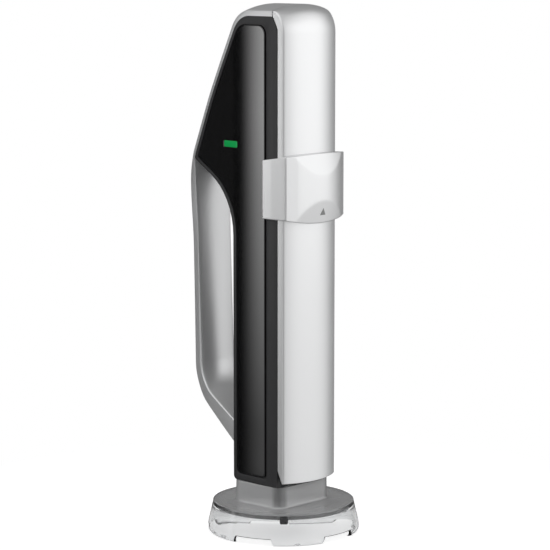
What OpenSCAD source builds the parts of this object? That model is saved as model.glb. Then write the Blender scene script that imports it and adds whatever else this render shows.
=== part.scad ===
// Wine preservation charger on its stand, at rest with the cover closed.
// +Z is up, the front faces -Y, and the origin is the centre of the stand's foot plane.
// Side outlines are lists of [y, z] corners, and y grows towards the handle.

/* [Body] */
// Width of the body at the cover's seam
body_w = 44.4; // [43:0.2:46]
// Radius of the side walls, seen from above
side_r = 360; // [320:10:500]
// Cover's seam, in front of the stand's axis
seam_y = 15.3; // [15:0.1:16]
// Flat back of the body, behind the stand's axis
back_y = 20.3; // [20:0.1:22]
// Underside of the body
base_z = 30; // [29:0.5:31]
// Side edge of the top
edge_z = 300.6; // [298:0.2:304]
// Rise of the crowned top above its side edges
crown_h = 3.6; // [3:0.1:4.4]
// Side wall of the two housings
side_wall = 3; // [2.8:0.1:3.2]
// Back, top and arch wall of the two housings
wall = 2.4; // [2:0.1:2.6]
// Height of the bevelled front corner under the cover's lid
shoulder_h = 7.1; // [6:0.1:8]

/* [Strap and handle] */
// Where the top turns down into the slope
slope_y = 16.3; // [15:0.1:18]
// Radius of that turn
slope_r = 16.5; // [15:0.5:18]
// Radius of the easy bend in the middle of the slope
spine_r = 250; // [200:10:300]
// Radius at the upper end of the handle
grip_r = 50; // [44:1:54]
// Radius at the heel of the handle
heel_r = 27; // [24:0.5:30]
// Middle of the slope, behind the axis
mid_y = 41.5; // [40.5:0.1:42.5]
// Middle of the slope, height
mid_z = 252.2; // [250:0.2:254]
// Upper end of the handle, behind the axis
grip_y = 60.6; // [59:0.1:63]
// Upper end of the handle, height
grip_z = 210.8; // [209:0.2:213]
// Lower end of the handle, behind the axis
heel_y = 57.4; // [56:0.1:60]
// Lower end of the handle, height
heel_z = 80.6; // [76:0.2:84]
// Lower edge of the arm where it meets the body
root_z = 52; // [50:0.5:55]
// Height of the arm where it meets the body
root_h = 12.2; // [10:0.2:13]
// Height of the strap's edge along the top
strap_top = 3; // [2.6:0.1:3.6]
// Thickness of the strap's edge along the slope
strap_edge = 2.2; // [2.1:0.1:3]
// Thickness of the handle's outer half at its edge
handle_edge = 4.4; // [3.8:0.1:5.2]
// Rise of the handle's inner edge above its heel
heel_lift = 2.4; // [2:0.1:3]
// Rise of the handle's rounded back above its edges
handle_crown = 7; // [5:0.2:9]
// Wall of the strap's channel
strap_wall = 1.8; // [1.4:0.1:1.8]
// Edge of the inner grip
grip_edge = 0.9; // [0.8:0.1:1.2]
// Rise of the inner grip above its edge
grip_crown = 2; // [1:0.1:2.5]
// Corner of the arch above the finger gap, on the body's back
arch_z = 195.1; // [193:0.5:198]
// Rise of the arch for each mm towards the handle
arch_slope = 0.53; // [0.45:0.01:0.6]
// Radius of that arch
arch_r = 38; // [34:1:42]

/* [Side panels] */
// Thickness of a gloss panel
panel_t = 1.4; // [1.2:0.1:1.4]
// Border of the housing in front of the panel
panel_front = 9.8; // [9:0.1:10.6]
// Border above the panel
panel_top = 5.3; // [4.8:0.1:6]
// Border along the slope
panel_slope = 2.6; // [2.4:0.1:3.2]
// Border below the panel
panel_low = 4.6; // [4:0.1:5.4]
// Groove round the panel
groove = 0.6; // [0.4:0.1:0.8]
// Groove along the panel's front edge
front_groove = 1.5; // [0.8:0.1:1.8]
// Length of the indicator window
window_l = 11.4; // [10:0.2:12]
// Height of the indicator window
window_h = 3.7; // [3:0.1:4]
// Middle of the window, behind the axis
window_y = 22.6; // [22:0.1:23]
// Middle of the window, height
window_z = 224.5; // [224:0.5:226]

/* [Cover] */
// Front corner of the cover's side, in front of the axis
crease_y = 19.7; // [19.4:0.1:20.4]
// Radius of the cover's front, seen from above
front_r = 40; // [39:0.5:41]
// Wall of the silver cover
cover_wall = 2; // [1.8:0.1:2]
// Underside of the cover
cover_z = 33; // [33:0.1:33.6]
// Gap between the cover and the body
seam_gap = 0.4; // [0.4:0.05:0.5]
// Rear end of the cover's lid, in front of the axis
lid_y = 12; // [11.9:0.1:12.4]
// Gap between the lid and the strap behind it
lid_gap = 0.6; // [0.5:0.05:0.8]
// Radius of the rolled front edge at the cover's corner
roll_r = 16.2; // [15.4:0.1:16.6]
// Height of the bevel on the cover's rear lower corner
heel_cut = 7.2; // [7:0.1:7.6]
// Wall of the black liner
liner_t = 1.5; // [1.3:0.1:1.5]
// Height of the hinge above the floor
hinge_z = 41; // [40.6:0.1:41.4]
// Hinge, in front of the axis
hinge_y = 17.6; // [17.5:0.1:17.7]
// Radius of the hinge pin
pin_r = 1.3; // [1.1:0.1:1.3]
// Rear end of the lever, behind the hinge
lever_l = 8.6; // [8.4:0.1:8.8]
// How far the cover opens
open_angle = 22; // [16:1:22]

/* [Clasp] */
// Half width of the clasp
clasp_w = 25; // [24.8:0.1:25.6]
// Thickness of the clasp in front of the cover
clasp_front = 4.65; // [4.4:0.05:5]
// Rear edge of the clasp's legs, in front of the axis
leg_y = 6.2; // [5.6:0.1:7]
// Underside of the clasp's legs
clasp_z = 184.3; // [184:0.1:185]
// Height of the clasp at the rear of its legs
leg_h = 33.1; // [32:0.1:35]
// How far the clasp slides up to unlock
clasp_travel = 12; // [10:0.5:12]
// Height of a thumb scoop
scoop_h = 12; // [11:0.5:13]
// Depth of a thumb scoop at the clasp's edge
scoop_d = 2; // [1.6:0.1:2.4]

/* [Gas capsule and regulator] */
// Radius of the capsule
capsule_r = 9.3; // [9.1:0.1:9.4]
// Length of the capsule
capsule_l = 66; // [64:0.5:67]
// Neck face of the capsule, height
capsule_z = 198.7; // [198:0.1:200]
// Radius of the regulator
reg_r = 9.6; // [9.4:0.1:9.7]
// Length of the regulator's body
reg_l = 47; // [45:1:48]
// Radius of the gas tube
tube_r = 1.6; // [1.4:0.1:1.8]
// Radius of the pull rods
rod_r = 1.5; // [1.3:0.1:1.5]

/* [Stopper socket] */
// Radius of the bore that takes the bottle stopper
socket_r = 12; // [11.6:0.1:12]
// Depth of that bore
socket_l = 14.8; // [14:0.2:15]
// Axis of the socket, behind the stand's axis
socket_y = 4; // [3.8:0.1:4.2]
// Wall of the socket
socket_wall = 1.4; // [1.2:0.1:1.4]
// Travel of the release plunger
plunger_travel = 5; // [3:0.5:5]

/* [Stand] */
// Radius of the deck
deck_r = 40.4; // [39.5:0.1:41]
// Top of the deck
deck_z = 17.9; // [17:0.1:18.6]
// Thickness of the deck
deck_t = 3.2; // [2.8:0.1:3.4]
// Largest radius of the skirt
skirt_r = 43.9; // [43:0.1:45]
// Wall of the skirt
skirt_t = 2; // [1.8:0.1:2.2]
// Number of feet
feet = 5; // [4:1:6]
// Width of a foot at the floor
foot_w = 27.5; // [25:0.5:29]
// Height of a foot
foot_h = 4; // [3:0.2:5]
// Radius of the socket for a soft pad in each foot
pad_r = 1.2; // [1:0.1:1.3]
// Depth of that socket
pad_l = 3; // [2:0.2:3.6]
// Half width of the collar
collar_w = 20; // [19.6:0.1:20.6]
// Wall of the collar
collar_t = 2.2; // [1.8:0.1:2.4]
// Width of a snap catch
catch_w = 4.7; // [4:0.1:5.4]
// Height of a snap catch
catch_h = 2.9; // [2.4:0.1:3.2]

/* [Hidden] */
$fn = 64;
// Overrun of cuts
over = 1;
// Gap between pieces that move past each other
slip = 0.3;
// Gap between fixed pieces
seat = 0.05;
// Radial clearance of a shaft in its bore
run = 0.05;
// Small walls, ribs and lips
rib = 2;

half_w = body_w / 2;
ridge_z = edge_z + crown_h;
crown_r = (half_w * half_w + crown_h * crown_h) / (2 * crown_h);
total_h = ridge_z + over;
side_x = side_r - half_w;
front_c = sqrt(front_r * front_r - half_w * half_w) - crease_y;
nose_y = front_r - front_c;
roll_y = crease_y - roll_r;
roll_z = ridge_z - roll_r;

// Half width of the body at a place y
function half_at(y) = sqrt(side_r * side_r - pow(y + seam_y, 2)) - side_x;
function unit(v) = v / norm(v);
function turned(a) = a > 180 ? a - 360 : a < -180 ? a + 360 : a;

// Points round corner q, between p and s, with radius r in n steps
function fillet(p, q, s, r, n) =
    let (a = unit(p - q), b = unit(s - q), half = acos(a * b) / 2,
        c = q + unit(a + b) * r / sin(half),
        u = q + a * r / tan(half) - c,
        v = q + b * r / tan(half) - c,
        t0 = atan2(u[1], u[0]),
        turn = turned(atan2(v[1], v[0]) - t0))
    [for (k = [0:n]) c + r * [cos(t0 + turn * k / n), sin(t0 + turn * k / n)]];

// A closed outline from corners [y, z] and their radii
function rounded(pts, rs, n = 8) =
    [for (i = [0:len(pts) - 1])
        let (p = pts[(i + len(pts) - 1) % len(pts)], s = pts[(i + 1) % len(pts)])
        each (rs[i] > 0 ? fillet(p, pts[i], s, rs[i], n) : [pts[i]])];

// Where line p0 p1 moved left by d meets line q0 q1 moved left by e
function meet(p0, p1, d, q0, q1, e) =
    let (u = unit(p1 - p0), v = unit(q1 - q0),
        a = p0 + d * [-u[1], u[0]],
        b = q0 + e * [-v[1], v[0]],
        t = ((b[0] - a[0]) * v[1] - (b[1] - a[1]) * v[0]) / (u[0] * v[1] - u[1] * v[0]))
    a + t * u;

// A clockwise outline's corners with each edge i moved inwards by ds[i]
function moved(pts, ds) =
    let (n = len(pts))
    [for (i = [0:n - 1])
        let (h = (i + n - 1) % n)
        meet(pts[h], pts[i], -ds[h], pts[i], pts[(i + 1) % n], -ds[i])];

function stepped(p, q, m) = [for (k = [1:m - 1]) p + (q - p) * k / m];

// An open path through corners with radii, n steps a corner and m steps a run
function path(pts, rs, n, m) =
    let (last = len(pts) - 1,
        bends = [for (i = [1:last - 1]) fillet(pts[i - 1], pts[i], pts[i + 1], rs[i], n)])
    [pts[0],
        for (i = [0:last - 2]) each concat(
            stepped(i == 0 ? pts[0] : bends[i - 1][n], bends[i][0], m), bends[i]),
        each stepped(bends[last - 2][n], pts[last], m),
        pts[last]];

// Side outlines: the strap's outer and inner edges, then the housing's
bend_steps = 8;
run_steps = 4;
top_in = edge_z - strap_top;
strap_y = lid_y - lid_gap;
end_y = back_y + seat;
inner_grip_r = 14;
inner_heel_r = 21;
out_pts = [[-strap_y, edge_z], [slope_y, edge_z], [mid_y, mid_z], [grip_y, grip_z],
    [heel_y, heel_z], [end_y, root_z]];
out_rs = [0, slope_r, spine_r, grip_r, heel_r, 0];
in_z = heel_z + heel_lift;
in_slope = meet(out_pts[0], out_pts[1], -strap_top, out_pts[1], out_pts[2], -strap_edge);
in_mid = meet(out_pts[1], out_pts[2], -strap_edge, out_pts[2], out_pts[3], -strap_edge);
in_grip = meet(out_pts[2], out_pts[3], -strap_edge, out_pts[3], out_pts[4], -handle_edge);
in_heel = meet(out_pts[3], out_pts[4], -handle_edge, [0, in_z], [over, in_z], 0);
in_pts = [[-strap_y, top_in], in_slope, in_mid, in_grip, in_heel, [end_y, root_z + root_h]];
in_slope_r = slope_r - rib;
in_spine_r = spine_r - rib;
in_rs = [0, in_slope_r, in_spine_r, inner_grip_r, inner_heel_r, 0];
out_rail = path(out_pts, out_rs, bend_steps, run_steps);
in_rail = path(in_pts, in_rs, bend_steps, run_steps);
arch_end = [grip_y, arch_z + arch_slope * (grip_y - back_y)];
tip_gap = 0.5;
tip_r = 0.4;
foot_r = 2.5;
lip_r = 0.8;
shoulder_r = 8;
tip = meet(in_mid, in_grip, -tip_gap, [back_y, arch_z], arch_end, 0);
house_pts = [[-seam_y, base_z], [-seam_y, top_in], in_slope, in_mid, tip, [back_y, arch_z],
    [back_y, base_z]];
front_top = [[-seam_y, top_in - shoulder_h], [-strap_y, top_in]];
body_pts = concat([house_pts[0]], front_top, [for (i = [2:6]) house_pts[i]]);
body_rs = [0, shoulder_r, lip_r, in_slope_r, in_spine_r, tip_r, arch_r, foot_r];
cavity_pts = moved(house_pts, [-over, wall, wall, wall, wall, wall, -over]);
cavity_rs = [0, 0, in_slope_r - wall, in_spine_r - wall, over, arch_r + wall, 0];
panel_r = 2;
panel_top_r = 5;
panel_slope_r = 9;
panel_ds = [panel_front, panel_top, panel_slope, panel_slope, panel_slope, wall + groove, panel_low];
panel_pts = moved(house_pts, panel_ds);
panel_rs = [panel_r, panel_top_r, panel_slope_r, in_spine_r - panel_slope, over, arch_r + wall, foot_r];
recess_pts = moved(panel_pts, [-front_groove, -groove, -groove, -groove, -groove, -groove, -groove]);
recess_rs = [panel_r + groove, panel_top_r + groove, panel_slope_r + groove,
    in_spine_r - panel_slope + groove, over + seam_gap / 2, arch_r + wall, foot_r + groove];

// The housing screws: their places [y, z], shank, head, drive and bosses
screw_r = 1.2;
boss_r = 3.2;
boss_gap = 0.5;
screw_l = 14;
thread_gap = 0.02;
head_r = 2.2;
head_t = 1.8;
head_gap = 0.2;
drive_r = 0.9;
low_screw = 40;
mid_screw = 110;
slope_screw = 18.2;
slope_screw_y = 4.5;
top_screw = 18.6;
top_screw_y = 5.3;
screw_y = back_y - wall - boss_r - boss_gap;
screws = [[screw_y, base_z + low_screw], [screw_y, base_z + mid_screw],
    [mid_y - slope_screw_y, mid_z - slope_screw], [slope_y - top_screw_y, edge_z - top_screw]];

// Extrudes an outline drawn in y and z across the whole width
module across(w = 2 * body_w) {
    rotate([90, 0, 90])
        linear_extrude(w, center = true)
            children();
}

// The body seen from above, drawn in by d, as a tall prism
module plan_prism(d = 0) {
    intersection_for (s = [-1, 1])
        translate([s * side_x, -seam_y, 0])
            cylinder(r = side_r - d, h = total_h, $fn = 720);
}

// One side of the middle plane, s = -1 for the left
module one_side(s) {
    intersection() {
        translate([s > 0 ? 0 : -body_w, -body_w, 0])
            cube([body_w, 3 * body_w, total_h]);
        children();
    }
}

// A rod along X, from x0 for a length l
module rod_along(x0, l, r) {
    translate([x0, 0, 0])
        rotate([0, 90, 0])
            cylinder(r = r, h = l);
}

// A box from its least corner to its greatest
module block(a, b) {
    translate(a)
        cube(b - a);
}

// A compression spring along +Z, wound as one tube
module coil(r, wire, turns, h) {
    rings = 8 * turns;
    sides = 6;
    points = [for (i = [0:rings], k = [0:sides - 1])
        let (a = 360 * i / 8, b = 360 * k / sides, q = r + wire * cos(b))
        [q * cos(a), q * sin(a), wire + (h - 2 * wire) * i / rings + wire * sin(b)]];
    faces = concat(
        [[for (k = [0:sides - 1]) k]],
        [for (i = [0:rings - 1], k = [0:sides - 1])
            let (m = (k + 1) % sides, a = i * sides, b = a + sides)
            each [[a + k, b + m, a + m], [a + k, b + k, b + m]]],
        [[for (k = [sides - 1:-1:0]) rings * sides + k]]);
    echo(least_gap = (h - 2 * wire) / turns - 2 * wire);
    polyhedron(points, faces, convexity = 10);
}

// A tube of quads through equal rings of points, closed at both ends
module skin(rings) {
    m = len(rings[0]);
    last = len(rings) - 1;
    points = [for (ring = rings) each ring];
    faces = concat(
        [[for (k = [0:m - 1]) k]],
        [for (i = [0:last - 1], k = [0:m - 1])
            let (j = (k + 1) % m, a = i * m, b = a + m)
            each [[a + k, b + j, a + j], [a + k, b + k, b + j]]],
        [[for (k = [m - 1:-1:0]) last * m + k]]);
    polyhedron(points, faces, convexity = 10);
}

// The stand's clear skirt: feet, pad sockets, snap windows and a ledge for the deck
skirt_top = deck_z - deck_t - seat;
skirt_r_shares = [0.968, 0.991, 1, 0.993, 0.975, 0.9545, 0.9405];
skirt_z_shares = [0, 0.0615, 0.1775, 0.355, 0.6145, 0.86, 1];
catch_z = 10.4;
pad_wall = 1;
pad_in = 4.1;
pad_circle = skirt_r - pad_in;
module at_feet() {
    for (i = [0:feet - 1])
        rotate([0, 0, 360 * i / feet])
            translate([0, pad_circle, 0])
                children();
}
function skirt_line(d) =
    [for (i = [0:6]) [skirt_r * skirt_r_shares[i] - d, skirt_top * skirt_z_shares[i]]];
module stand_skirt() {
    inner = skirt_line(skirt_t);
    color([0.86, 0.87, 0.88])
        difference() {
            union() {
                rotate_extrude($fn = 128)
                    polygon(concat(skirt_line(0), [for (i = [6:-1:0]) inner[i]]));
                at_feet()
                    cylinder(r = pad_r + pad_wall, h = pad_l + pad_wall);
            }
            at_feet()
                translate([0, 0, -over])
                    cylinder(r = pad_r, h = pad_l + over);
            for (i = [0:feet - 1])
                rotate([0, 0, 360 * i / feet])
                    translate([0, -skirt_r + 3 * rib, -over])
                        rotate([90, 0, 0])
                            linear_extrude(4 * rib)
                                polygon(gap_shape());
            at_catches()
                block([skirt_r - 3 * rib, -catch_w / 2 - run, catch_z - run],
                    [skirt_r + over, catch_w / 2 + run, catch_z + catch_h + run]);
        }
}
function gap_shape() =
    let (w = skirt_r * sin(180 / feet) - foot_w / 2)
    [[-w - over, 0], [w + over, 0], [w - over, foot_h + over], [over - w, foot_h + over]];
module at_catches() {
    for (a = [45:90:315])
        rotate([0, 0, a])
            children();
}

// The stand's smoked deck, with the hollow collar that carries the charger
collar_gap = 0.3;
collar_y = (back_y - seam_y) / 2;
collar_l = (back_y + seam_y) / 2 - collar_gap;
collar_r = 5.6;
peg_r = 1.8;
peg_in = 3.6;
peg_end = 4.9;
peg_x = half_w - side_wall - peg_in;
peg_l = collar_l - peg_end;
finger_in = 1.8;
module rounded_box(w, l, r, h) {
    hull()
        for (x = [-1, 1], y = [-1, 1])
            translate([x * (w - r), y * (l - r), 0])
                cylinder(r = r, h = h);
}
module stand_deck() {
    finger_r = deck_r - finger_in;
    color([0.55, 0.55, 0.56])
        difference() {
            union() {
                translate([0, 0, deck_z - deck_t])
                    cylinder(r = deck_r, h = deck_t, $fn = 128);
                translate([0, collar_y, deck_z - deck_t])
                    rounded_box(collar_w, collar_l, collar_r, base_z - deck_z + deck_t);
                at_pegs(base_z - rib)
                    cylinder(r = peg_r, h = 2 * rib);
                at_catches() {
                    block([finger_r - rib, -catch_w, catch_z - rib], [finger_r, catch_w, deck_z - over]);
                    block([finger_r - over, -catch_w / 2, catch_z],
                        [skirt_r - over, catch_w / 2, catch_z + catch_h]);
                }
            }
            translate([0, collar_y, deck_z - deck_t - over])
                rounded_box(collar_w - collar_t, collar_l - collar_t, collar_r - collar_t,
                    base_z - deck_z + deck_t - collar_t + over);
            translate([0, socket_y, base_z - 2 * collar_t])
                cylinder(r = socket_r + over, h = 4 * collar_t);
        }
}
module at_pegs(z) {
    for (x = [-1, 1], y = [-1, 1])
        translate([x * peg_x, collar_y + y * peg_l, z])
            children();
}

// The satin back: one crowned channel over the top, the slope, the handle and the arm
shares = [for (k = [-6:6]) k / 6];
function eased(t) = let (u = max(0, min(1, t))) u * u * (3 - 2 * u);
function rise(k) =
    let (a = in_rail[k])
    crown_h + (handle_crown - crown_h) * (eased((mid_z - a[1]) / (mid_z - arch_z))
        - (a[1] < arch_z ? 0.5 * eased((heel_y - a[0]) / (heel_y - end_y)) : 0));
function strap_ring(k) =
    let (a = in_rail[k], b = out_rail[k], e = norm(b - a), u = (b - a) / e, c = rise(k),
        wa = half_at(a[0]), wb = half_at(b[0]), w = wa - strap_wall)
    concat(
        [[-wa, a[0], a[1]]],
        [for (s = shares) let (p = a + u * (e + c * (1 - s * s))) [s * wb, p[0], p[1]]],
        [[wa, a[0], a[1]], [w, a[0], a[1]]],
        [for (s = shares)
            let (q = w / wb, p = a + u * (e - strap_wall + c * (1 - s * s * q * q)))
            [-s * w, p[0], p[1]]],
        [[-w, a[0], a[1]]]);
module rear_shell() {
    color([0.72, 0.73, 0.74])
        skin([for (k = [0:len(out_rail) - 1]) strap_ring(k)]);
}

// The inner half of the handle, closing the channel along the finger gap
grip_ks = [for (k = [0:len(in_rail) - 1])
    if (in_rail[k][0] > mid_y / 2 && in_rail[k][1] < tip[1] - rib || k == len(in_rail) - 1) k];
function grip_ring(k, j) =
    let (a = in_rail[k], u = unit(out_rail[k] - a), w = half_at(a[0]),
        c = grip_crown * min(1, j / 4), p = a - u * seat)
    concat(
        [[-w, p[0], p[1]]],
        [[w, p[0], p[1]]],
        [for (s = shares)
            let (q = a - u * (grip_edge + c * (1 - s * s))) [-s * w, q[0], q[1]]]);
module handle_grip() {
    color([0.78, 0.78, 0.79])
        skin([for (j = [0:len(grip_ks) - 1]) grip_ring(grip_ks[j], j)]);
}

// The two black housings, one mould each side of the middle plane
module housing(s) {
    shank = s > 0 ? -over : -screw_l - over;
    one_side(s)
        difference() {
            intersection() {
                plan_prism();
                across()
                    polygon(rounded(body_pts, body_rs));
            }
            difference() {
                intersection() {
                    plan_prism(side_wall);
                    across()
                        polygon(rounded(cavity_pts, cavity_rs));
                }
                for (p = screws)
                    translate([0, p[0], p[1]])
                        rod_along(-half_w, body_w, boss_r);
            }
            difference() {
                across()
                    polygon(rounded(recess_pts, recess_rs));
                plan_prism(panel_t + groove / 2);
            }
            for (p = screws)
                translate([0, p[0], p[1]]) {
                    rod_along(shank, body_w, screw_r + (s > 0 ? run : 0));
                    rod_along(s > 0 ? screw_l : body_w, body_w, head_r + head_gap);
                }
        }
}
module housing_left() {
    color([0.24, 0.24, 0.25])
        difference() {
            housing(-1);
            window_cut(run);
        }
}
module housing_right() {
    color([0.24, 0.24, 0.25])
        housing(1);
}

// A gloss panel, bent to the side wall
module panel(s) {
    one_side(s)
        difference() {
            intersection() {
                plan_prism(seat);
                across()
                    polygon(rounded(panel_pts, panel_rs));
            }
            plan_prism(panel_t + seat);
        }
}
window_r = 0.8;
window_rs = [window_r, window_r, window_r, window_r];
module window_cut(d) {
    translate([-half_w, window_y, window_z])
        rotate([90, 0, 90])
            linear_extrude(half_w)
                polygon(rounded([for (c = [[-1, -1], [-1, 1], [1, 1], [1, -1]])
                    [c[0] * (window_l / 2 + d), c[1] * (window_h / 2 + d)]], window_rs, 4));
}
module panel_left() {
    color([0.06, 0.06, 0.06])
        difference() {
            panel(-1);
            window_cut(run);
        }
}
module panel_right() {
    color([0.06, 0.06, 0.06])
        panel(1);
}
module indicator_window() {
    color([0.04, 0.6, 0.3])
        difference() {
            intersection() {
                plan_prism(seat);
                window_cut(0);
            }
            plan_prism(side_wall);
        }
}

// The front frame: trough for the capsule, hinge ears and slots for the levers
frame_gap = 0.1;
frame_w = half_w - side_wall - frame_gap;
frame_y = seam_y - frame_gap;
frame_low = 4;
frame_high = 7;
trough_r = capsule_r + slip;
bay_room = 12;
tail_room = 8;
lever_t = 1.6;
lever_gap = 2.6;
lever_x = half_w - side_wall - lever_t - lever_gap;
slot_gap = 0.4;
ear_in = 4.6;
ear_x = lever_x - ear_in;
ear_t = 2;
knuckle_wall = 1.2;
knuckle_r = pin_r + knuckle_wall;
eye_t = 1.8;
eye_wall = 1.2;
link_r = 1.1;
rod_x = lever_x - slip - eye_t / 2;
rod_y = hinge_y - lever_l;
runner_t = 1.7;
bay_gap = 0.626;
capsule_y = nose_y - cover_wall - liner_t - runner_t - bay_gap - reg_r;
module bay_frame() {
    color([0.3, 0.3, 0.31])
        difference() {
            union() {
                block([-frame_w, -frame_y, base_z + frame_low],
                    [frame_w, rib - frame_y, top_in - frame_high]);
                intersection() {
                    on_capsule(capsule_z + bay_room)
                        cylinder(r = trough_r + rib - slip, h = capsule_l - bay_room - tail_room);
                    block([-half_w, rib - frame_y - over, 0], [half_w, back_y, total_h]);
                }
                for (s = [-1, 1])
                    translate([0, -hinge_y, hinge_z]) {
                        rod_along(s > 0 ? ear_x : -ear_x - ear_t, ear_t, knuckle_r);
                        block([s > 0 ? ear_x : -ear_x - ear_t, 0, -knuckle_r],
                            [s > 0 ? ear_x + ear_t : -ear_x, hinge_y - frame_y + over, knuckle_r]);
                    }
            }
            on_capsule(capsule_z - rib)
                cylinder(r = trough_r, h = capsule_l + bay_room + rib);
            on_capsule(capsule_z - reg_l - bay_room)
                cylinder(r = reg_r + slip, h = reg_l + bay_room);
            for (s = [-1, 1])
                block([s > 0 ? lever_x - slot_gap : -lever_x - lever_t - slot_gap,
                        -seam_y - over, hinge_z - 2 * knuckle_r],
                    [s > 0 ? lever_x + lever_t + slot_gap : slot_gap - lever_x, 0,
                        hinge_z + 4 * knuckle_r]);
            translate([0, -hinge_y, hinge_z])
                rod_along(-half_w, body_w, pin_r + run);
        }
}

// The chassis: a spine with decks that guide the rods and hold the regulator
chassis_gap = 0.8;
chassis_w = half_w - side_wall - chassis_gap;
spine_y = 1;
spine_t = 2.4;
spine_high = 12;
deck_gap = 0.2;
deck_lift = 56;
guide_drop = 8;
ledge = 1;
port_w = 6;
port_low = 20;
port_high = 12;
reg_gap = 1.4;
reg_z = capsule_z - reg_l - reg_gap;
deck_hs = [base_z + deck_lift, reg_z - spine_t - seat, reg_z + reg_l - guide_drop];
tube_y = 5;
module chassis() {
    color([0.6, 0.61, 0.62])
        difference() {
            union() {
                block([-chassis_w, spine_y, deck_hs[0]],
                    [chassis_w, spine_y + spine_t, top_in - spine_high]);
                for (z = deck_hs)
                    block([-chassis_w, rib + deck_gap - frame_y, z],
                        [chassis_w, spine_y + over, z + spine_t]);
            }
            for (s = [-1, 1])
                translate([s * rod_x, -rod_y, 0])
                    cylinder(r = rod_r + run, h = total_h);
            on_capsule(reg_z - 2 * over)
                cylinder(r = reg_r + seat, h = total_h);
            on_capsule(deck_hs[1] - over)
                cylinder(r = reg_r - ledge, h = 4 * over);
            translate([0, -tube_y, deck_hs[0] - over])
                cylinder(r = tube_r + slip, h = 4 * over);
            block([-port_w, 0, deck_hs[0] + port_low], [port_w, 2 * spine_t, deck_hs[1] - port_high]);
        }
}

// The closing plate under the body, over the collar's pegs
plate_h = 3;
module base_plate() {
    color([0.2, 0.2, 0.21])
        difference() {
            intersection() {
                plan_prism(side_wall + seat);
                block([-half_w, -frame_y, base_z], [half_w, back_y - wall - seat, base_z + plate_h]);
            }
            translate([0, socket_y, base_z - over])
                cylinder(r = socket_r + socket_wall + seat, h = 2 * plate_h);
            at_pegs(base_z - over)
                cylinder(r = peg_r + slip, h = 2 * plate_h);
        }
}

// The socket for the bottle stopper, with the plunger's chamber above it
socket_lift = 0.6;
chamber_h = 13;
chamber_in = 1;
socket_z = base_z + socket_lift;
chamber_z = socket_z + socket_l;
socket_top = chamber_z + chamber_h + rib;
stem_r = 1.6;
module stopper_socket() {
    color([0.75, 0.76, 0.77])
        translate([0, socket_y, 0])
            difference() {
                translate([0, 0, socket_z])
                    cylinder(r = socket_r + socket_wall, h = socket_top - socket_z);
                translate([0, 0, socket_z - over])
                    cylinder(r = socket_r, h = socket_l + over);
                translate([0, 0, chamber_z - over])
                    cylinder(r = socket_r - chamber_in, h = chamber_h + over);
                translate([0, 0, socket_top - 2 * rib])
                    cylinder(r = stem_r + run, h = 3 * rib);
            }
}

// The valve block over the socket, with the relief valve in its side
block_w = 8;
block_h = 19;
block_back = 6;
clip_room_r = 3.2;
clip_room_h = 4;
tube_in = 6;
duct_z = 8;
valve_z = 11;
valve_y = 1;
valve_r = 2;
valve_in = 3;
flange_r = 3.4;
flange_t = 1.6;
nut_r = 2.4;
nut_l = 6;
vent_r = 1;
module valve_block() {
    color([0.7, 0.66, 0.5])
        difference() {
            block([-block_w, rib - capsule_y, socket_top + seat],
                [block_w, socket_y + block_back, socket_top + block_h]);
            translate([0, socket_y, socket_top - over])
                cylinder(r = clip_room_r, h = plunger_travel + clip_room_h);
            translate([0, -tube_y, socket_top + block_h - tube_in])
                cylinder(r = tube_r + seat, h = tube_in + over);
            translate([0, -tube_y, socket_top + duct_z])
                cylinder(r = tube_r / 2, h = block_h);
            translate([0, -valve_y, socket_top + valve_z])
                rod_along(0, 2 * block_w, valve_r + seat);
        }
}
module relief_valve() {
    color([0.78, 0.68, 0.35])
        translate([0, -valve_y, socket_top + valve_z])
            difference() {
                union() {
                    rod_along(valve_in, block_w - valve_in + 2 * seat, valve_r);
                    rod_along(block_w + seat, flange_t, flange_r);
                    rod_along(block_w + seat, nut_l, nut_r);
                }
                rod_along(block_w + rib, nut_l, vent_r);
            }
}

// The gas tube from the regulator to the valve block, with two easy bends
bend_r = 6;
cap_h = 9;
tube_low = socket_top + block_h - tube_in + over;
tube_high = reg_z - cap_h - seat;
tube_mid = (tube_low + tube_high) / 2;
tube_rail = path([[-tube_y, tube_low], [-tube_y, tube_mid - bend_r], [-capsule_y, tube_mid + bend_r],
    [-capsule_y, tube_high]], [0, bend_r, bend_r, 0], 6, 2);
function tube_ring(k, r, e) =
    let (m = len(tube_rail) - 1,
        u = unit(tube_rail[min(k + 1, m)] - tube_rail[max(k - 1, 0)]),
        p = tube_rail[k] + u * (k == 0 ? -e : k == m ? e : 0))
    [for (i = [0:15])
        let (a = 360 * i / 16) [r * cos(a), p[0] + r * sin(a) * u[1], p[1] - r * sin(a) * u[0]]];
module gas_tube() {
    color([0.72, 0.73, 0.74])
        difference() {
            skin([for (k = [0:len(tube_rail) - 1]) tube_ring(k, tube_r, 0)]);
            skin([for (k = [0:len(tube_rail) - 1]) tube_ring(k, tube_r / 2, over)]);
        }
}

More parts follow.
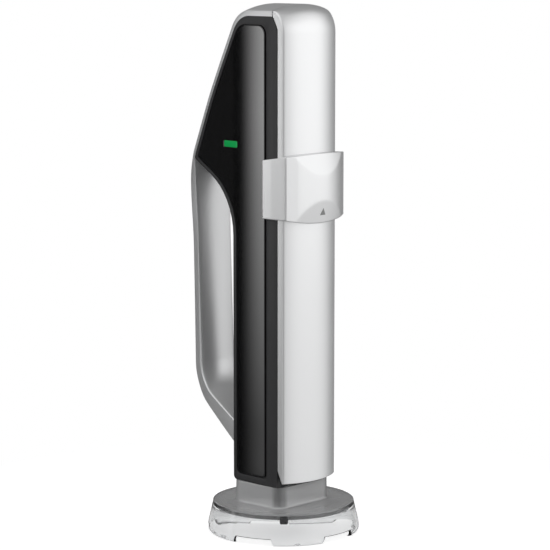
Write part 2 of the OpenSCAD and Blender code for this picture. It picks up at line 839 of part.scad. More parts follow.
// The regulator: body, cap, piston, spring, needle and seal on the capsule's axis
module on_capsule(z) {
    translate([0, -capsule_y, z])
        children();
}
bore_r = 7;
bore_end = 12;
cap_in = 1.2;
plug_h = 5;
cup_z = 6;
cup_h = 10;
piston_h = 6;
piston_drop = 25;
pilot_r = 1.4;
pilot_h = 16;
dish_r = 4;
dish_h = 3;
piston_z = reg_z + reg_l - piston_drop;
spring_r = 5.6;
spring_wire = 0.5;
spring_gap = 0.1;
spring_turns = 5;
seal_seat = 5;
base_r = 4.4;
base_h = 2.4;
needle_r = 1.1;
needle_h = 4.6;
point_r = 0.3;
point_h = 1.7;
duct_r = 0.6;
seal_r = 4.3;
seal_h = 2.5;
seal_hole_r = 1.5;
module regulator_body() {
    color([0.78, 0.79, 0.8])
        on_capsule(reg_z)
            difference() {
                cylinder(r = reg_r, h = reg_l);
                translate([0, 0, -over])
                    cylinder(r = bore_r, h = reg_l - bore_end + over);
                cylinder(r = rib, h = reg_l + over);
                translate([0, 0, reg_l - seal_seat])
                    cylinder(r = base_r, h = seal_seat + over);
            }
}
module regulator_cap() {
    color([0.66, 0.67, 0.68])
        on_capsule(reg_z - cap_h)
            difference() {
                union() {
                    cylinder(r = reg_r - cap_in, h = cap_h - seat);
                    cylinder(r = bore_r - seat, h = cap_h + plug_h);
                }
                translate([0, 0, cup_z])
                    cylinder(r = bore_r - rib, h = cup_h);
                translate([0, 0, -over])
                    cylinder(r = tube_r / 2, h = cap_h + over);
            }
}
module regulator_piston() {
    color([0.8, 0.8, 0.78])
        on_capsule(piston_z)
            difference() {
                union() {
                    cylinder(r = bore_r - run, h = piston_h);
                    cylinder(r = pilot_r, h = pilot_h);
                }
                translate([0, 0, -over])
                    cylinder(r = dish_r, h = dish_h + over);
            }
}
module regulator_spring() {
    color([0.6, 0.6, 0.62])
        on_capsule(reg_z + plug_h + spring_gap)
            coil(spring_r, spring_wire, spring_turns, piston_z - reg_z - plug_h - 2 * spring_gap);
}
module piercing_needle() {
    color([0.85, 0.85, 0.86])
        on_capsule(reg_z + reg_l - seal_seat)
            difference() {
                union() {
                    cylinder(r = base_r - seat, h = base_h);
                    cylinder(r = needle_r, h = needle_h);
                    translate([0, 0, needle_h])
                        cylinder(r1 = needle_r, r2 = point_r, h = point_h);
                }
                translate([0, 0, -over])
                    cylinder(r = duct_r, h = needle_h);
            }
}
module capsule_seal() {
    color([0.12, 0.12, 0.12])
        on_capsule(reg_z + reg_l - seal_h)
            difference() {
                cylinder(r = seal_r, h = seal_h);
                translate([0, 0, -over])
                    cylinder(r = seal_hole_r, h = 2 * seal_h);
            }
}

// The steel gas capsule, neck down
steel_t = 1.6;
neck_r = 3.6;
neck_h = 6;
throat_h = 9;
throat_in = 0.6;
shoulder_z = 17;
shoulder_end = 30;
shoulder_round = 8;
module gas_capsule() {
    r = capsule_r;
    q = r - steel_t;
    n = neck_r - steel_t;
    throat = [neck_r + throat_in, throat_h];
    color([0.7, 0.71, 0.73])
        on_capsule(capsule_z)
            rotate_extrude()
                difference() {
                    polygon(concat([[0, 0], [neck_r, 0], [neck_r, neck_h], throat],
                        fillet(throat, [r, shoulder_z], [r, shoulder_end], shoulder_round, 6),
                        fillet([r, shoulder_end], [r, capsule_l], [0, capsule_l], r - over, 6),
                        [[0, capsule_l]]));
                    polygon(concat([[0, over], [n, over], [n, throat_h - over]],
                        fillet([n, throat_h - over], [q, shoulder_z + over], [q, shoulder_end],
                            shoulder_round - over, 6),
                        fillet([q, shoulder_end], [q, capsule_l - steel_t], [0, capsule_l - steel_t],
                            q - over, 6),
                        [[0, capsule_l - steel_t]]));
                }
}

// The pin both hinge ears share
module hinge_pin() {
    color([0.7, 0.7, 0.72])
        translate([0, -hinge_y, hinge_z])
            rod_along(-lever_x - lever_t, 2 * lever_x + 2 * lever_t, pin_r);
}

// Four screws that draw the housings together, under the right panel
module housing_screws() {
    color([0.5, 0.5, 0.52])
        for (p = screws)
            translate([0, p[0], p[1]])
                difference() {
                    union() {
                        rod_along(-screw_l, 2 * screw_l + 2 * seat, screw_r - thread_gap);
                        rod_along(screw_l + seat, head_t, head_r);
                    }
                    rod_along(screw_l + over, head_t, drive_r, $fn = 6);
                }
}

// The gas indicator: a small cylinder lifts a flag behind the window
flag_x = 9;
lift_drop = 25;
lift_z = window_z - lift_drop;
flag_travel = 5;
lift_back = 2;
lift_r = 4;
lift_bore_r = 3;
lift_h = 16;
lift_wall = 1.6;
rod_small_r = 1.2;
head_h = 2.4;
head_lift = 0.2;
flag_out = 16;
flag_t = 1;
flag_w = 14;
arm_t = 2.4;
arm_h = 2;
arm_low = 2.9;
flag_spring_r = 2.1;
flag_spring_wire = 0.25;
flag_spring_turns = 4;
module on_lift(z) {
    translate([-flag_x, window_y + lift_back, lift_z + z])
        children();
}
module indicator_cylinder() {
    color([0.7, 0.71, 0.72])
        on_lift(0)
            difference() {
                cylinder(r = lift_r, h = lift_h);
                translate([0, 0, lift_wall])
                    cylinder(r = lift_bore_r, h = lift_h - 2 * lift_wall);
                cylinder(r = rod_small_r + run, h = lift_h + over);
            }
}
module indicator_flag() {
    y = window_y + lift_back - arm_t / 2;
    color([0.05, 0.62, 0.3]) {
        on_lift(lift_wall + head_lift)
            cylinder(r = lift_bore_r - run, h = head_h);
        on_lift(lift_wall + head_h / 2)
            cylinder(r = rod_small_r, h = lift_drop - lift_wall - head_h / 2 - arm_low + arm_h / 2);
        block([-flag_out, y, window_z - arm_low], [-flag_x, y + arm_t, window_z - arm_low + arm_h]);
        block([-flag_out, window_y - flag_w / 2, window_z - arm_low],
            [flag_t - flag_out, window_y + flag_w / 2, window_z + arm_low]);
    }
}
module indicator_spring() {
    low = lift_wall + head_lift + head_h + seat;
    color([0.62, 0.62, 0.64])
        on_lift(low)
            coil(flag_spring_r, flag_spring_wire, flag_spring_turns, lift_h - lift_wall - seat - low);
}

// The release plunger over the stopper, its return spring and its clip
plunger_lift = 1;
plunger_z = chamber_z + plunger_lift;
plunger_h = 2.6;
stem_end = 2.2;
plunger_spring_r = 5;
plunger_wire = 0.4;
plunger_turns = 4;
clip_r = 2.8;
clip_h = 1;
module release_plunger() {
    color([0.85, 0.85, 0.86])
        translate([0, socket_y, plunger_z]) {
            cylinder(r = socket_r - chamber_in - run, h = plunger_h);
            cylinder(r = stem_r, h = socket_top - plunger_z + stem_end);
        }
}
module plunger_spring() {
    low = plunger_z + plunger_h + seat;
    color([0.62, 0.62, 0.64])
        translate([0, socket_y, low])
            coil(plunger_spring_r, plunger_wire, plunger_turns, socket_top - rib - seat - low);
}
module plunger_clip() {
    color([0.4, 0.4, 0.42])
        translate([0, socket_y, socket_top + 2 * seat])
            difference() {
                cylinder(r = clip_r, h = clip_h);
                translate([0, 0, -over])
                    cylinder(r = stem_r + seat, h = clip_h + 2 * over);
            }
}

// The press: two rods with slotted eyes and the yoke that clamps the capsule
yoke_z = capsule_z + capsule_l + seat;
yoke_r = 3.4;
yoke_h = 5;
rod_in = 3;
pad_top_r = 7;
pad_top_h = 3;
eye_neck = 0.6;
module long_hole(x0, w, r, l) {
    for (y = [-l, 0])
        translate([0, y, 0])
            rod_along(x0, w, r);
    block([x0, -l, -r], [x0 + w, 0, r]);
}
module pull_rods() {
    back = lever_l * (1 - cos(open_angle));
    low = link_r + slip + eye_wall - 2 * seat;
    color([0.68, 0.69, 0.7])
        for (s = [-1, 1])
            translate([s * rod_x, -rod_y, hinge_z])
                difference() {
                    union() {
                        long_hole(-eye_t / 2, eye_t, link_r + slip + eye_wall, back);
                        translate([0, 0, low - rib / 4])
                            cylinder(r = rod_r - eye_neck, h = rib);
                        translate([0, 0, low])
                            cylinder(r = rod_r, h = yoke_z - hinge_z + rod_in);
                    }
                    long_hole(-eye_t, 2 * eye_t, link_r + slip, back);
                }
}
module press_yoke() {
    color([0.62, 0.63, 0.65])
        difference() {
            union() {
                for (s = [-1, 1])
                    translate([s * rod_x, -rod_y, yoke_z])
                        cylinder(r = yoke_r, h = yoke_h);
                block([-rod_x, -rod_y - yoke_r, yoke_z], [rod_x, yoke_r - rod_y, yoke_z + yoke_h]);
                on_capsule(yoke_z)
                    cylinder(r = pad_top_r, h = pad_top_h);
            }
            for (s = [-1, 1])
                translate([s * rod_x, -rod_y, yoke_z - over])
                    cylinder(r = rod_r + seat, h = rod_in + rib + 2 * slip + over);
        }
}

// The silver cover and its black liner, both from one outer form
module barrel(d) {
    translate([0, -roll_y, roll_z])
        rotate([0, 90, 0])
            rotate_extrude($fn = 128)
                intersection() {
                    translate([-roll_y - front_c, 0])
                        circle(r = front_r - d, $fn = 128);
                    translate([0, -half_w - over])
                        square([front_r, body_w + 2 * over]);
                }
}
module cover_form(d) {
    intersection() {
        plan_prism(d);
        union() {
            translate([0, 2 * half_w, ridge_z - crown_r])
                rotate([90, 0, 0])
                    cylinder(r = crown_r - d, h = 4 * half_w, $fn = 128);
            block([-body_w, -body_w, 0], [body_w, body_w, ridge_z - crown_r]);
        }
        union() {
            intersection() {
                translate([0, front_c, 0])
                    cylinder(r = front_r - d, h = roll_z, $fn = 128);
                block([-half_w, -front_r, 0], [half_w, over, roll_z]);
            }
            intersection() {
                barrel(d);
                block([-half_w, -front_r, roll_z], [half_w, -roll_y, total_h]);
            }
            block([-half_w, -roll_y, roll_z - over], [half_w, over, total_h]);
        }
    }
}
corner_in = 0.7;
module cover_side(z, g) {
    y = seam_y + g;
    across()
        polygon([[-front_r, z], [corner_in - crease_y, z], [-y, cover_z + heel_cut],
            [-y, top_in - shoulder_h], [-lid_y, top_in + g], [-lid_y, total_h],
            [-front_r, total_h]]);
}
module cover_shell() {
    color([0.85, 0.86, 0.87])
        difference() {
            intersection() {
                cover_form(0);
                cover_side(cover_z, seam_gap);
            }
            cover_form(cover_wall);
            runner_slot(rib);
        }
}
plate_x = 8;
plate_w = 3;
plate_low = 9;
plate_tall = 8;
plate_z = hinge_z + plate_low;
plate_t = 1.6;
plate_y = 17;
slot_in = 1.4;
pilot_screw_r = 0.9;
module at_plate(z) {
    for (s = [-1, 1])
        translate([s * plate_x, 0, z])
            children();
}
module screw_hole(r) {
    rotate([90, 0, 0])
        cylinder(r = r, h = front_r);
}
module cover_liner() {
    e = cover_wall + seat;
    color([0.08, 0.08, 0.08]) {
        difference() {
            intersection() {
                cover_form(e);
                cover_side(cover_z - over, seam_gap);
            }
            difference() {
                cover_form(e + liner_t);
                block([-half_w, -front_r, 0], [half_w, rib - crease_y, cover_z + over]);
            }
            runner_slot(rib);
            for (s = [-1, 1])
                translate([0, -hinge_y, hinge_z])
                    rod_along(s > 0 ? ear_x - slot_in : -lever_x - lever_t - slot_in,
                        lever_x + lever_t - ear_x + 2 * slot_in, knuckle_r + slip);
        }
        difference() {
            intersection() {
                cover_form(e);
                at_plate(plate_z)
                    block([-plate_w, -front_r, 0], [plate_w, -plate_y - plate_t - seat, plate_tall]);
            }
            at_plate(plate_z + plate_tall / 2)
                screw_hole(pilot_screw_r + run);
        }
    }
}

// The lever frame behind the liner: knuckles on the hinge pin and two levers
arm_back = 1;
arm_front = 1.6;
frame_tall = 6;
module lever_frame() {
    color([0.6, 0.61, 0.62])
        difference() {
            union() {
                for (s = [-1, 1])
                    translate([s > 0 ? 0 : -2 * lever_x - lever_t, -hinge_y, hinge_z]) {
                        rod_along(lever_x, lever_t, knuckle_r);
                        translate([0, lever_l, 0])
                            rod_along(lever_x, lever_t, link_r + eye_wall);
                        block([lever_x, 0, -link_r - over], [lever_x + lever_t, lever_l, link_r + over]);
                        block([lever_x, -arm_back, 0],
                            [lever_x + lever_t, arm_front, plate_z - hinge_z + frame_tall]);
                    }
                block([-lever_x - lever_t, -plate_y - plate_t, plate_z],
                    [lever_x + lever_t, -plate_y, plate_z + plate_tall]);
            }
            translate([0, -hinge_y, hinge_z])
                rod_along(-body_w, 2 * body_w, pin_r + run);
            translate([0, -rod_y, hinge_z])
                rod_along(-body_w, 2 * body_w, link_r + seat);
            at_plate(plate_z + plate_tall / 2)
                screw_hole(pilot_screw_r + 3 * run);
        }
}
module lever_pins() {
    low = rod_x - eye_t / 2 - rib / 4;
    w = lever_x + lever_t - low;
    color([0.7, 0.7, 0.72])
        for (s = [-1, 1])
            translate([0, -rod_y, hinge_z])
                rod_along(s > 0 ? low : -low - w, w, link_r);
}
pilot_l = 4;
pilot_head_r = 1.8;
pilot_head_t = 1.2;
module liner_screws() {
    color([0.5, 0.5, 0.52])
        at_plate(plate_z + plate_tall / 2)
            translate([0, seat - plate_y, 0]) {
                rotate([90, 0, 0])
                    cylinder(r = pilot_screw_r, h = pilot_l);
                rotate([-90, 0, 0])
                    cylinder(r = pilot_head_r, h = pilot_head_t);
            }
}

// The silver clasp: an open band with two thumb scoops, sliding on the cover
clasp_r = front_r + clasp_front;
clasp_rise = 0.15;
clasp_drop = 2.7;
chin = 4;
clasp_in = 3.3;
scoop_up = 24.7;
scoop_low = 9.9;
scoop_l = 60;
runner_w = 3.4;
runner_step = 7;
runner_up = 12.2;
runner_z = clasp_z + runner_up;
runner_zs = [runner_z, runner_z + runner_step];
module clasp_side() {
    low = clasp_z - clasp_drop;
    slope = clasp_drop / (nose_y + clasp_front - crease_y - chin);
    across()
        polygon([[-leg_y, clasp_z], [-leg_y, clasp_z + leg_h],
            [-clasp_r, clasp_z + leg_h + clasp_rise * (clasp_r - leg_y)],
            [-clasp_r, low - slope * (clasp_r - nose_y - clasp_front)],
            [-nose_y - clasp_front, low], [-crease_y - chin, clasp_z]]);
}
module scoop(z, s) {
    w = clasp_w - clasp_in;
    r = 1 / (1 / clasp_r - 2 * scoop_d / (w * w));
    translate([0, -nose_y - clasp_front, clasp_z + z])
        rotate([s * atan(scoop_d / scoop_h), 0, 0])
            translate([0, r, -scoop_l])
                cylinder(r = r, h = 2 * scoop_l, $fn = 256);
}
module clasp_band() {
    color([0.88, 0.89, 0.9])
        difference() {
            intersection() {
                clasp_side();
                block([-clasp_w, -clasp_r, 0], [clasp_w, 0, total_h]);
                translate([0, front_c, 0])
                    cylinder(r = clasp_r, h = total_h, $fn = 128);
                scoop(scoop_up, -1);
                scoop(scoop_low, 1);
            }
            intersection() {
                plan_prism(-slip);
                translate([0, front_c, 0])
                    cylinder(r = front_r + slip, h = total_h, $fn = 128);
            }
            for (z = runner_zs)
                translate([0, over - nose_y, z])
                    rotate([90, 0, 0])
                        cylinder(r = pilot_screw_r + run, h = clasp_front - slip / 2 - 6 * seat);
        }
}
module runner_slot(d) {
    block([-runner_w - run, -front_r, runner_zs[0] - d - slip],
        [runner_w + run, -capsule_y, runner_zs[1] + d + clasp_travel + slip]);
}
runner_back = 0.9;
runner_side = 2.6;
module clasp_runner() {
    y = nose_y - cover_wall - liner_t;
    color([0.3, 0.3, 0.31])
        difference() {
            union() {
                intersection() {
                    block([-runner_w, -front_r, runner_zs[0] - rib],
                        [runner_w, runner_t - runner_back - y, runner_zs[1] + rib]);
                    translate([0, front_c, 0])
                        cylinder(r = front_r + slip - seat, h = total_h, $fn = 128);
                }
                block([-runner_w - runner_side, runner_t - runner_back - y, runner_zs[0] - 2 * rib],
                    [runner_w + runner_side, runner_t - y, runner_zs[1] + 2 * rib]);
            }
            for (z = runner_zs)
                translate([0, 0, z])
                    screw_hole(pilot_screw_r + run);
        }
}
clasp_screw_l = 7;
clasp_head_r = 1.6;
clasp_head_t = 0.5;
module clasp_screws() {
    color([0.5, 0.5, 0.52])
        for (z = runner_zs)
            translate([0, cover_wall + liner_t + runner_t + seat - nose_y, z]) {
                rotate([90, 0, 0])
                    cylinder(r = pilot_screw_r, h = clasp_screw_l);
                rotate([-90, 0, 0])
                    cylinder(r = clasp_head_r, h = clasp_head_t);
            }
}

stand_skirt();
stand_deck();
rear_shell();
handle_grip();
housing_left();
housing_right();
panel_left();
panel_right();
indicator_window();
bay_frame();
chassis();
base_plate();
stopper_socket();
valve_block();
relief_valve();
gas_tube();
regulator_body();
regulator_cap();
regulator_piston();
regulator_spring();
piercing_needle();
capsule_seal();
gas_capsule();
hinge_pin();
housing_screws();
indicator_cylinder();
indicator_flag();
indicator_spring();
release_plunger();
plunger_spring();
plunger_clip();
press_yoke();
pull_rods();
cover_shell();
cover_liner();
lever_frame();
lever_pins();
liner_screws();
clasp_band();
clasp_runner();
clasp_screws();
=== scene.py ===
import math

import bmesh
import bpy
import numpy as np
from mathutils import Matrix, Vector


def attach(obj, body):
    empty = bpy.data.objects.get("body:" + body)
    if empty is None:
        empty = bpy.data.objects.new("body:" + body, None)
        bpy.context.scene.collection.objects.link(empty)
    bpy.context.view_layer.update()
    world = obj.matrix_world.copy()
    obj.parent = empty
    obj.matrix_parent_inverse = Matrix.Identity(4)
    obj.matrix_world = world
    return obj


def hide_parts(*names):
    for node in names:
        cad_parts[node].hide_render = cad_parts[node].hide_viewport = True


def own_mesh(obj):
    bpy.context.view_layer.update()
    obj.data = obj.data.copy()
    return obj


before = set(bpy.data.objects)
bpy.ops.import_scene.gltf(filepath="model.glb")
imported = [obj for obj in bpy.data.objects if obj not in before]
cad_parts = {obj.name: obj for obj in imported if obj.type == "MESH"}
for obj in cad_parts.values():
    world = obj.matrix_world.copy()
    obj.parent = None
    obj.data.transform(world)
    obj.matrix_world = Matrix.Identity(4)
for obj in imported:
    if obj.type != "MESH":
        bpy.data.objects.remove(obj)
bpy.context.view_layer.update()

# The camera: a long lens from the front left, a little higher than the charger's top, as the
# product picture was taken. It looks slightly down, with no shift and no blur.
lens = bpy.data.cameras.new("camera")
camera = bpy.data.objects.new("camera", lens)
bpy.context.collection.objects.link(camera)
bpy.context.scene.camera = camera
lens.sensor_width = 36
lens.lens = 157.1
lens.clip_start = 0.05
lens.clip_end = 60
focal_px = 2400
metres_per_px = 0.000583
middle_right_px = 8.4
middle_up_px = 253.2
view_turn = math.radians(-47.5)
view_tip = math.radians(8.15)
ahead = Vector((
    -math.sin(view_turn) * math.cos(view_tip),
    math.cos(view_turn) * math.cos(view_tip),
    -math.sin(view_tip),
))
aside = Vector((math.cos(view_turn), math.sin(view_turn), 0))
above = aside.cross(ahead)
to_foot = ahead + aside * (middle_right_px / focal_px) - above * (middle_up_px / focal_px)
camera.location = -to_foot * (focal_px * metres_per_px)
camera.rotation_euler = ahead.to_track_quat("-Z", "Y").to_euler()


# The stand's skirt: one clear injection-moulded ring on five feet, polished outside. Its wall
# wraps the deck's edge, and the deck rests on a ledge inside it.
class Thread:
    """One socket of a material; sums on it add their own maths nodes."""

    def __init__(self, tree, end=None):
        self.tree = tree
        self.end = end

    def node(self, kind, settings=(), values=(), out=0):
        """An output of a new node, made from its type, its settings and its sockets."""
        made = self.tree.nodes.new("ShaderNode" + kind)
        for key, value in dict(settings).items():
            setattr(made, key, value)
        for key, value in dict(values).items():
            if isinstance(value, Thread):
                self.tree.links.new(value.end, made.inputs[key])
            else:
                made.inputs[key].default_value = value
        return Thread(self.tree, made.outputs[out])

    def maths(self, operation, first, second):
        return self.node("Math", {"operation": operation}, {0: first, 1: second})

    def __add__(self, other):
        return self.maths("ADD", self, other)

    def __sub__(self, other):
        return self.maths("SUBTRACT", self, other)

    def __rsub__(self, other):
        return self.maths("SUBTRACT", other, self)

    def __mul__(self, other):
        return self.maths("MULTIPLY", self, other)

    __radd__ = __add__
    __rmul__ = __mul__

    def held(self, low, high, first=0.0, last=1.0):
        """This value run from low to high, clamped, as first to last."""
        return self.node("MapRange", (), {
            "Value": self, "From Min": low, "From Max": high, "To Min": first, "To Max": last})

    def rising(self, low, high):
        """A smooth step that is 0 where this value is at low and 1 where it is at high."""
        return self.node("MapRange", {"interpolation_type": "SMOOTHSTEP"}, {
            "Value": self, "From Min": low, "From Max": high})

    def between(self, first, second):
        """The mix of two colours by this value."""
        colours = {
            key: colour if isinstance(colour, Thread) else (*colour, 1)
            for key, colour in ((6, first), (7, second))
        }
        return self.node("Mix", {"data_type": "RGBA"}, {0: self, **colours}, out=2)

    def part(self, k):
        """The x, y or z part of a point."""
        return self.node("SeparateXYZ", (), {0: self}, out=k)

    def noise(self, scale, detail=2.0, rough=0.5):
        """Soft noise over the points of this thread."""
        return self.node("TexNoise", (), {
            "Vector": self, "Scale": scale, "Detail": detail, "Roughness": rough})

    def bump(self, strength, distance):
        """The surface's direction, raised by this value."""
        return self.node("Bump", (), {"Height": self, "Strength": strength, "Distance": distance})


def start(name):
    """A new material, its main shader and a thread of the place on the piece."""
    material = bpy.data.materials.new(name)
    material.use_nodes = True
    place = Thread(material.node_tree).node("TexCoord", out=3)
    return material, material.node_tree.nodes["Principled BSDF"], place


def give(shader, **sockets):
    """Sets the shader's sockets to values, or links them to threads."""
    for key, value in sockets.items():
        socket = shader.inputs[key.replace("_", " ")]
        if isinstance(value, Thread):
            value.tree.links.new(value.end, socket)
        else:
            socket.default_value = (*value, 1) if isinstance(value, tuple) else value


def new_mesh(name, points, faces, merge=True, turn_out=True):
    """A mesh from points in mm, with doubles merged and faces turned outwards where asked."""
    mesh = bpy.data.meshes.new(name)
    mesh.from_pydata([tuple(v / 1000 for v in p) for p in points], [], faces)
    work = bmesh.new()
    work.from_mesh(mesh)
    if merge:
        bmesh.ops.remove_doubles(work, verts=work.verts, dist=2e-6)
    if turn_out:
        bmesh.ops.recalc_face_normals(work, faces=work.faces)
    work.to_mesh(mesh)
    work.free()
    return mesh


def put(name, mesh):
    """A new object in the scene, at the origin."""
    piece = bpy.data.objects.new(name, mesh)
    bpy.context.collection.objects.link(piece)
    return piece


def smooth(mesh, sharp):
    """Smooth shading, broken where faces meet at more than sharp degrees."""
    mesh.shade_smooth()
    mesh.set_sharp_from_angle(angle=math.radians(sharp))


def finish(piece, body, node=None, sharp=40):
    """Smooths a piece, keeps its sharp edges and hangs it on its body, in a node's place."""
    smooth(piece.data, sharp)
    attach(piece, body)
    if node:
        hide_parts(node)
    return piece


def settle(name, points, faces, body, node, material, sharp=40):
    """A finished piece from points in mm, on its body in a node's place."""
    mesh = new_mesh(name, points, faces)
    mesh.materials.append(material)
    return finish(put(name, mesh), body, node, sharp)


def tube(rows, around=False, ends=False):
    """Points and faces through equal closed rows, joined in a ring or closed by end faces."""
    count = len(rows[0])
    faces = []
    for i in range(len(rows) - (0 if around else 1)):
        a = i * count
        b = (i + 1) % len(rows) * count
        for k in range(count):
            m = (k + 1) % count
            faces.append((a + k, a + m, b + m, b + k))
    if ends:
        faces.append(tuple(range(count - 1, -1, -1)))
        faces.append(tuple(range((len(rows) - 1) * count, len(rows) * count)))
    return [p for row in rows for p in row], faces


feet = 5
foot_pitch = 360 / feet
first_foot = 18
gap_half = 16.75
gap_slope = 2.15
gap_rise = 4.0
gap_fades_at = 8
skirt_wall = 1.8
edge_wall = 1.4
edge_round = 0.35
inner_draft = 1.2
ledge_z = 14.65
ledge_starts = 14
steps_a_degree = 2
skirt_z = [0, 0.3, 0.9, 1.7, 2.6, 3.8, 5.2, 7, 9, 10.8, 12.6, 14.6, 16.2, 17.2, 17.7, 17.85]
skirt_r = [42.2, 42.75, 43.4, 43.8, 43.9, 43.8, 43.6, 43.25, 42.8, 42.35, 41.9, 41.45, 41.1,
           40.95, 40.85, 40.7]
ledge = [(38.2, 14.45), (38.35, 14.6), (40.35, 14.6), (40.47, 14.7), (40.5, 17.75),
         (40.58, 17.85)]


def skirt_row(degrees):
    """The skirt's section at an angle, up its outside and down its inside."""
    from_gap = abs((degrees - first_foot) % foot_pitch - foot_pitch / 2)
    lift = gap_rise * min(1, max(0, (gap_half - from_gap) / gap_slope))
    heights = [z + lift * max(0.0, 1 - z / gap_fades_at) for z in skirt_z]
    radii = [float(np.interp(z, skirt_z, skirt_r)) for z in heights]
    radii[0] -= edge_round
    outside = list(zip(radii, heights))
    inside = []
    for k, (r, z) in enumerate(outside):
        if z < ledge_starts:
            wall = edge_wall if k == 0 else skirt_wall
            inside.append((r - wall - inner_draft * (z / ledge_z) ** 2, z))
    a = math.radians(degrees)
    return [(r * math.cos(a), r * math.sin(a), z) for r, z in outside + (inside + ledge)[::-1]]


clear, shader, place = start("skirt_plastic")
broad = place.noise(70.0)
fine = place.noise(900.0)
waves = broad * 0.8 + fine * 0.2
give(shader, Base_Color=(0.77, 0.775, 0.78), IOR=1.49, Transmission_Weight=1.0,
     Roughness=fine.held(0.3, 0.7, 0.02, 0.07), Normal=waves.bump(0.1, 0.00008))
rows = [skirt_row(k / steps_a_degree) for k in range(360 * steps_a_degree)]
settle("stand_skirt_ring", *tube(rows, around=True), "stand", "stand_skirt", clear, 35)


# The pad sockets: a low moulded ring under each of the five feet, open at the floor, made in
# one piece with the skirt and of the same clear plastic.
def applied(piece):
    """The piece with its modifiers made part of its mesh."""
    depsgraph = bpy.context.evaluated_depsgraph_get()
    mesh = bpy.data.meshes.new_from_object(piece.evaluated_get(depsgraph))
    piece.modifiers.clear()
    piece.data = mesh
    return piece


def pattern(name, points, faces):
    """A piece in mm that only serves as the pattern of others."""
    mesh = new_mesh(name, points, faces, merge=False)
    smooth(mesh, 35)
    return put(name, mesh)


def round_about(name, base, count, first, material, body):
    """Copies of a pattern round the stand's axis, made by a node group of its own."""
    tree = bpy.data.node_groups.new("round_" + name, "GeometryNodeTree")
    for label, kind in (("Piece", "Object"), ("Count", "Int"), ("First angle", "Float"),
                        ("Finish", "Material")):
        tree.interface.new_socket(label, in_out="INPUT", socket_type="NodeSocket" + kind)
    tree.interface.new_socket("Geometry", in_out="OUTPUT", socket_type="NodeSocketGeometry")

    def add(kind, **settings):
        made = tree.nodes.new(kind)
        for key, value in settings.items():
            setattr(made, key, value)
        return made

    given = add("NodeGroupInput").outputs
    result = add("NodeGroupOutput")
    line = add("GeometryNodeMeshLine")
    line.inputs["Offset"].default_value = (0, 0, 0)
    source = add("GeometryNodeObjectInfo", transform_space="ORIGINAL")
    number = add("GeometryNodeInputIndex")
    step = add("ShaderNodeMath", operation="DIVIDE")
    step.inputs[0].default_value = math.tau
    turn = add("ShaderNodeMath", operation="MULTIPLY_ADD")
    spin = add("ShaderNodeCombineXYZ")
    copies = add("GeometryNodeInstanceOnPoints")
    solid = add("GeometryNodeRealizeInstances")
    coat = add("GeometryNodeSetMaterial")
    for end, socket in (
        (given["Piece"], source.inputs["Object"]),
        (given["Count"], line.inputs["Count"]),
        (given["Count"], step.inputs[1]),
        (number.outputs[0], turn.inputs[0]),
        (step.outputs[0], turn.inputs[1]),
        (given["First angle"], turn.inputs[2]),
        (turn.outputs[0], spin.inputs["Z"]),
        (line.outputs["Mesh"], copies.inputs["Points"]),
        (source.outputs["Geometry"], copies.inputs["Instance"]),
        (spin.outputs[0], copies.inputs["Rotation"]),
        (copies.outputs[0], solid.inputs[0]),
        (solid.outputs[0], coat.inputs[0]),
        (given["Finish"], coat.inputs["Material"]),
        (coat.outputs[0], result.inputs[0]),
    ):
        tree.links.new(end, socket)
    mesh = bpy.data.meshes.new(name)
    mesh.from_pydata([(0, 0, 0)], [], [])
    piece = put(name, mesh)
    modifier = piece.modifiers.new("round", "NODES")
    modifier.node_group = tree
    inputs = [item for item in tree.interface.items_tree if item.in_out == "INPUT"]
    for item, value in zip(inputs, (base, count, first, material)):
        modifier[item.identifier] = value
    applied(piece)
    piece.data.name = name
    bpy.data.objects.remove(base)
    return finish(piece, body)


socket_circle = 39.8
socket_steps = 48
socket_ring = [(1.2, 0.1), (1.3, 0), (2.1, 0), (2.2, 0.1), (2.2, 0.4), (2.1, 0.5), (0.6, 0.5),
               (0.01, 0.5), (0.01, 0.3), (1.2, 0.3)]
rows = []
for step in range(socket_steps):
    a = math.tau * step / socket_steps
    rows.append([(socket_circle + r * math.cos(a), r * math.sin(a), z) for r, z in socket_ring])
pad_socket = pattern("pad_socket", *tube(rows, around=True))
sockets = round_about(
    "stand_pad_sockets", pad_socket, feet, math.radians(first_foot), clear, "stand")


# The smoked deck: one moulding, a shallow dish with a grooved rim and a hollow collar with
# rounded corners that the charger stands on. Semi-gloss grey translucent plastic. Its colour
# holds painted shade on the collar's two front corners and a painted shadow low on the rim.
deck_steps = 480
deck_rays = [math.tau * (k + 0.5) / deck_steps for k in range(deck_steps)]
collar_half_x = 22.2
collar_half_y = 19
collar_corner = 6.3
collar_middle = 1.5
socket_middle = 4


def round_box(half_x, half_y, r, middle_y):
    """A rounded rectangle's points where the deck's rays meet it."""
    out = []
    for a in deck_rays:
        c = math.cos(a)
        s = math.sin(a)
        t = min(half_x / max(abs(c), 1e-9), half_y / max(abs(s), 1e-9))
        if abs(c * t) > half_x - r and abs(s * t) > half_y - r:
            corner_x = math.copysign(half_x - r, c)
            corner_y = math.copysign(half_y - r, s)
            b = c * corner_x + s * corner_y
            t = b + math.sqrt(max(0, b * b - (corner_x ** 2 + corner_y ** 2 - r * r)))
        out.append((c * t, s * t + middle_y))
    return out


def disc(r, z):
    """A ring of the deck's round part."""
    return [(r * math.cos(a), r * math.sin(a), z) for a in deck_rays]


def collar(inset, z):
    """A ring of the collar, drawn in by inset."""
    outline = round_box(
        collar_half_x - inset, collar_half_y - inset, collar_corner - inset, collar_middle)
    return [(x, y, z) for x, y in outline]


def hole(r, z):
    """A ring of the hole that the stopper socket's foot stands over."""
    return [(r * math.cos(a), socket_middle + r * math.sin(a), z) for a in deck_rays]


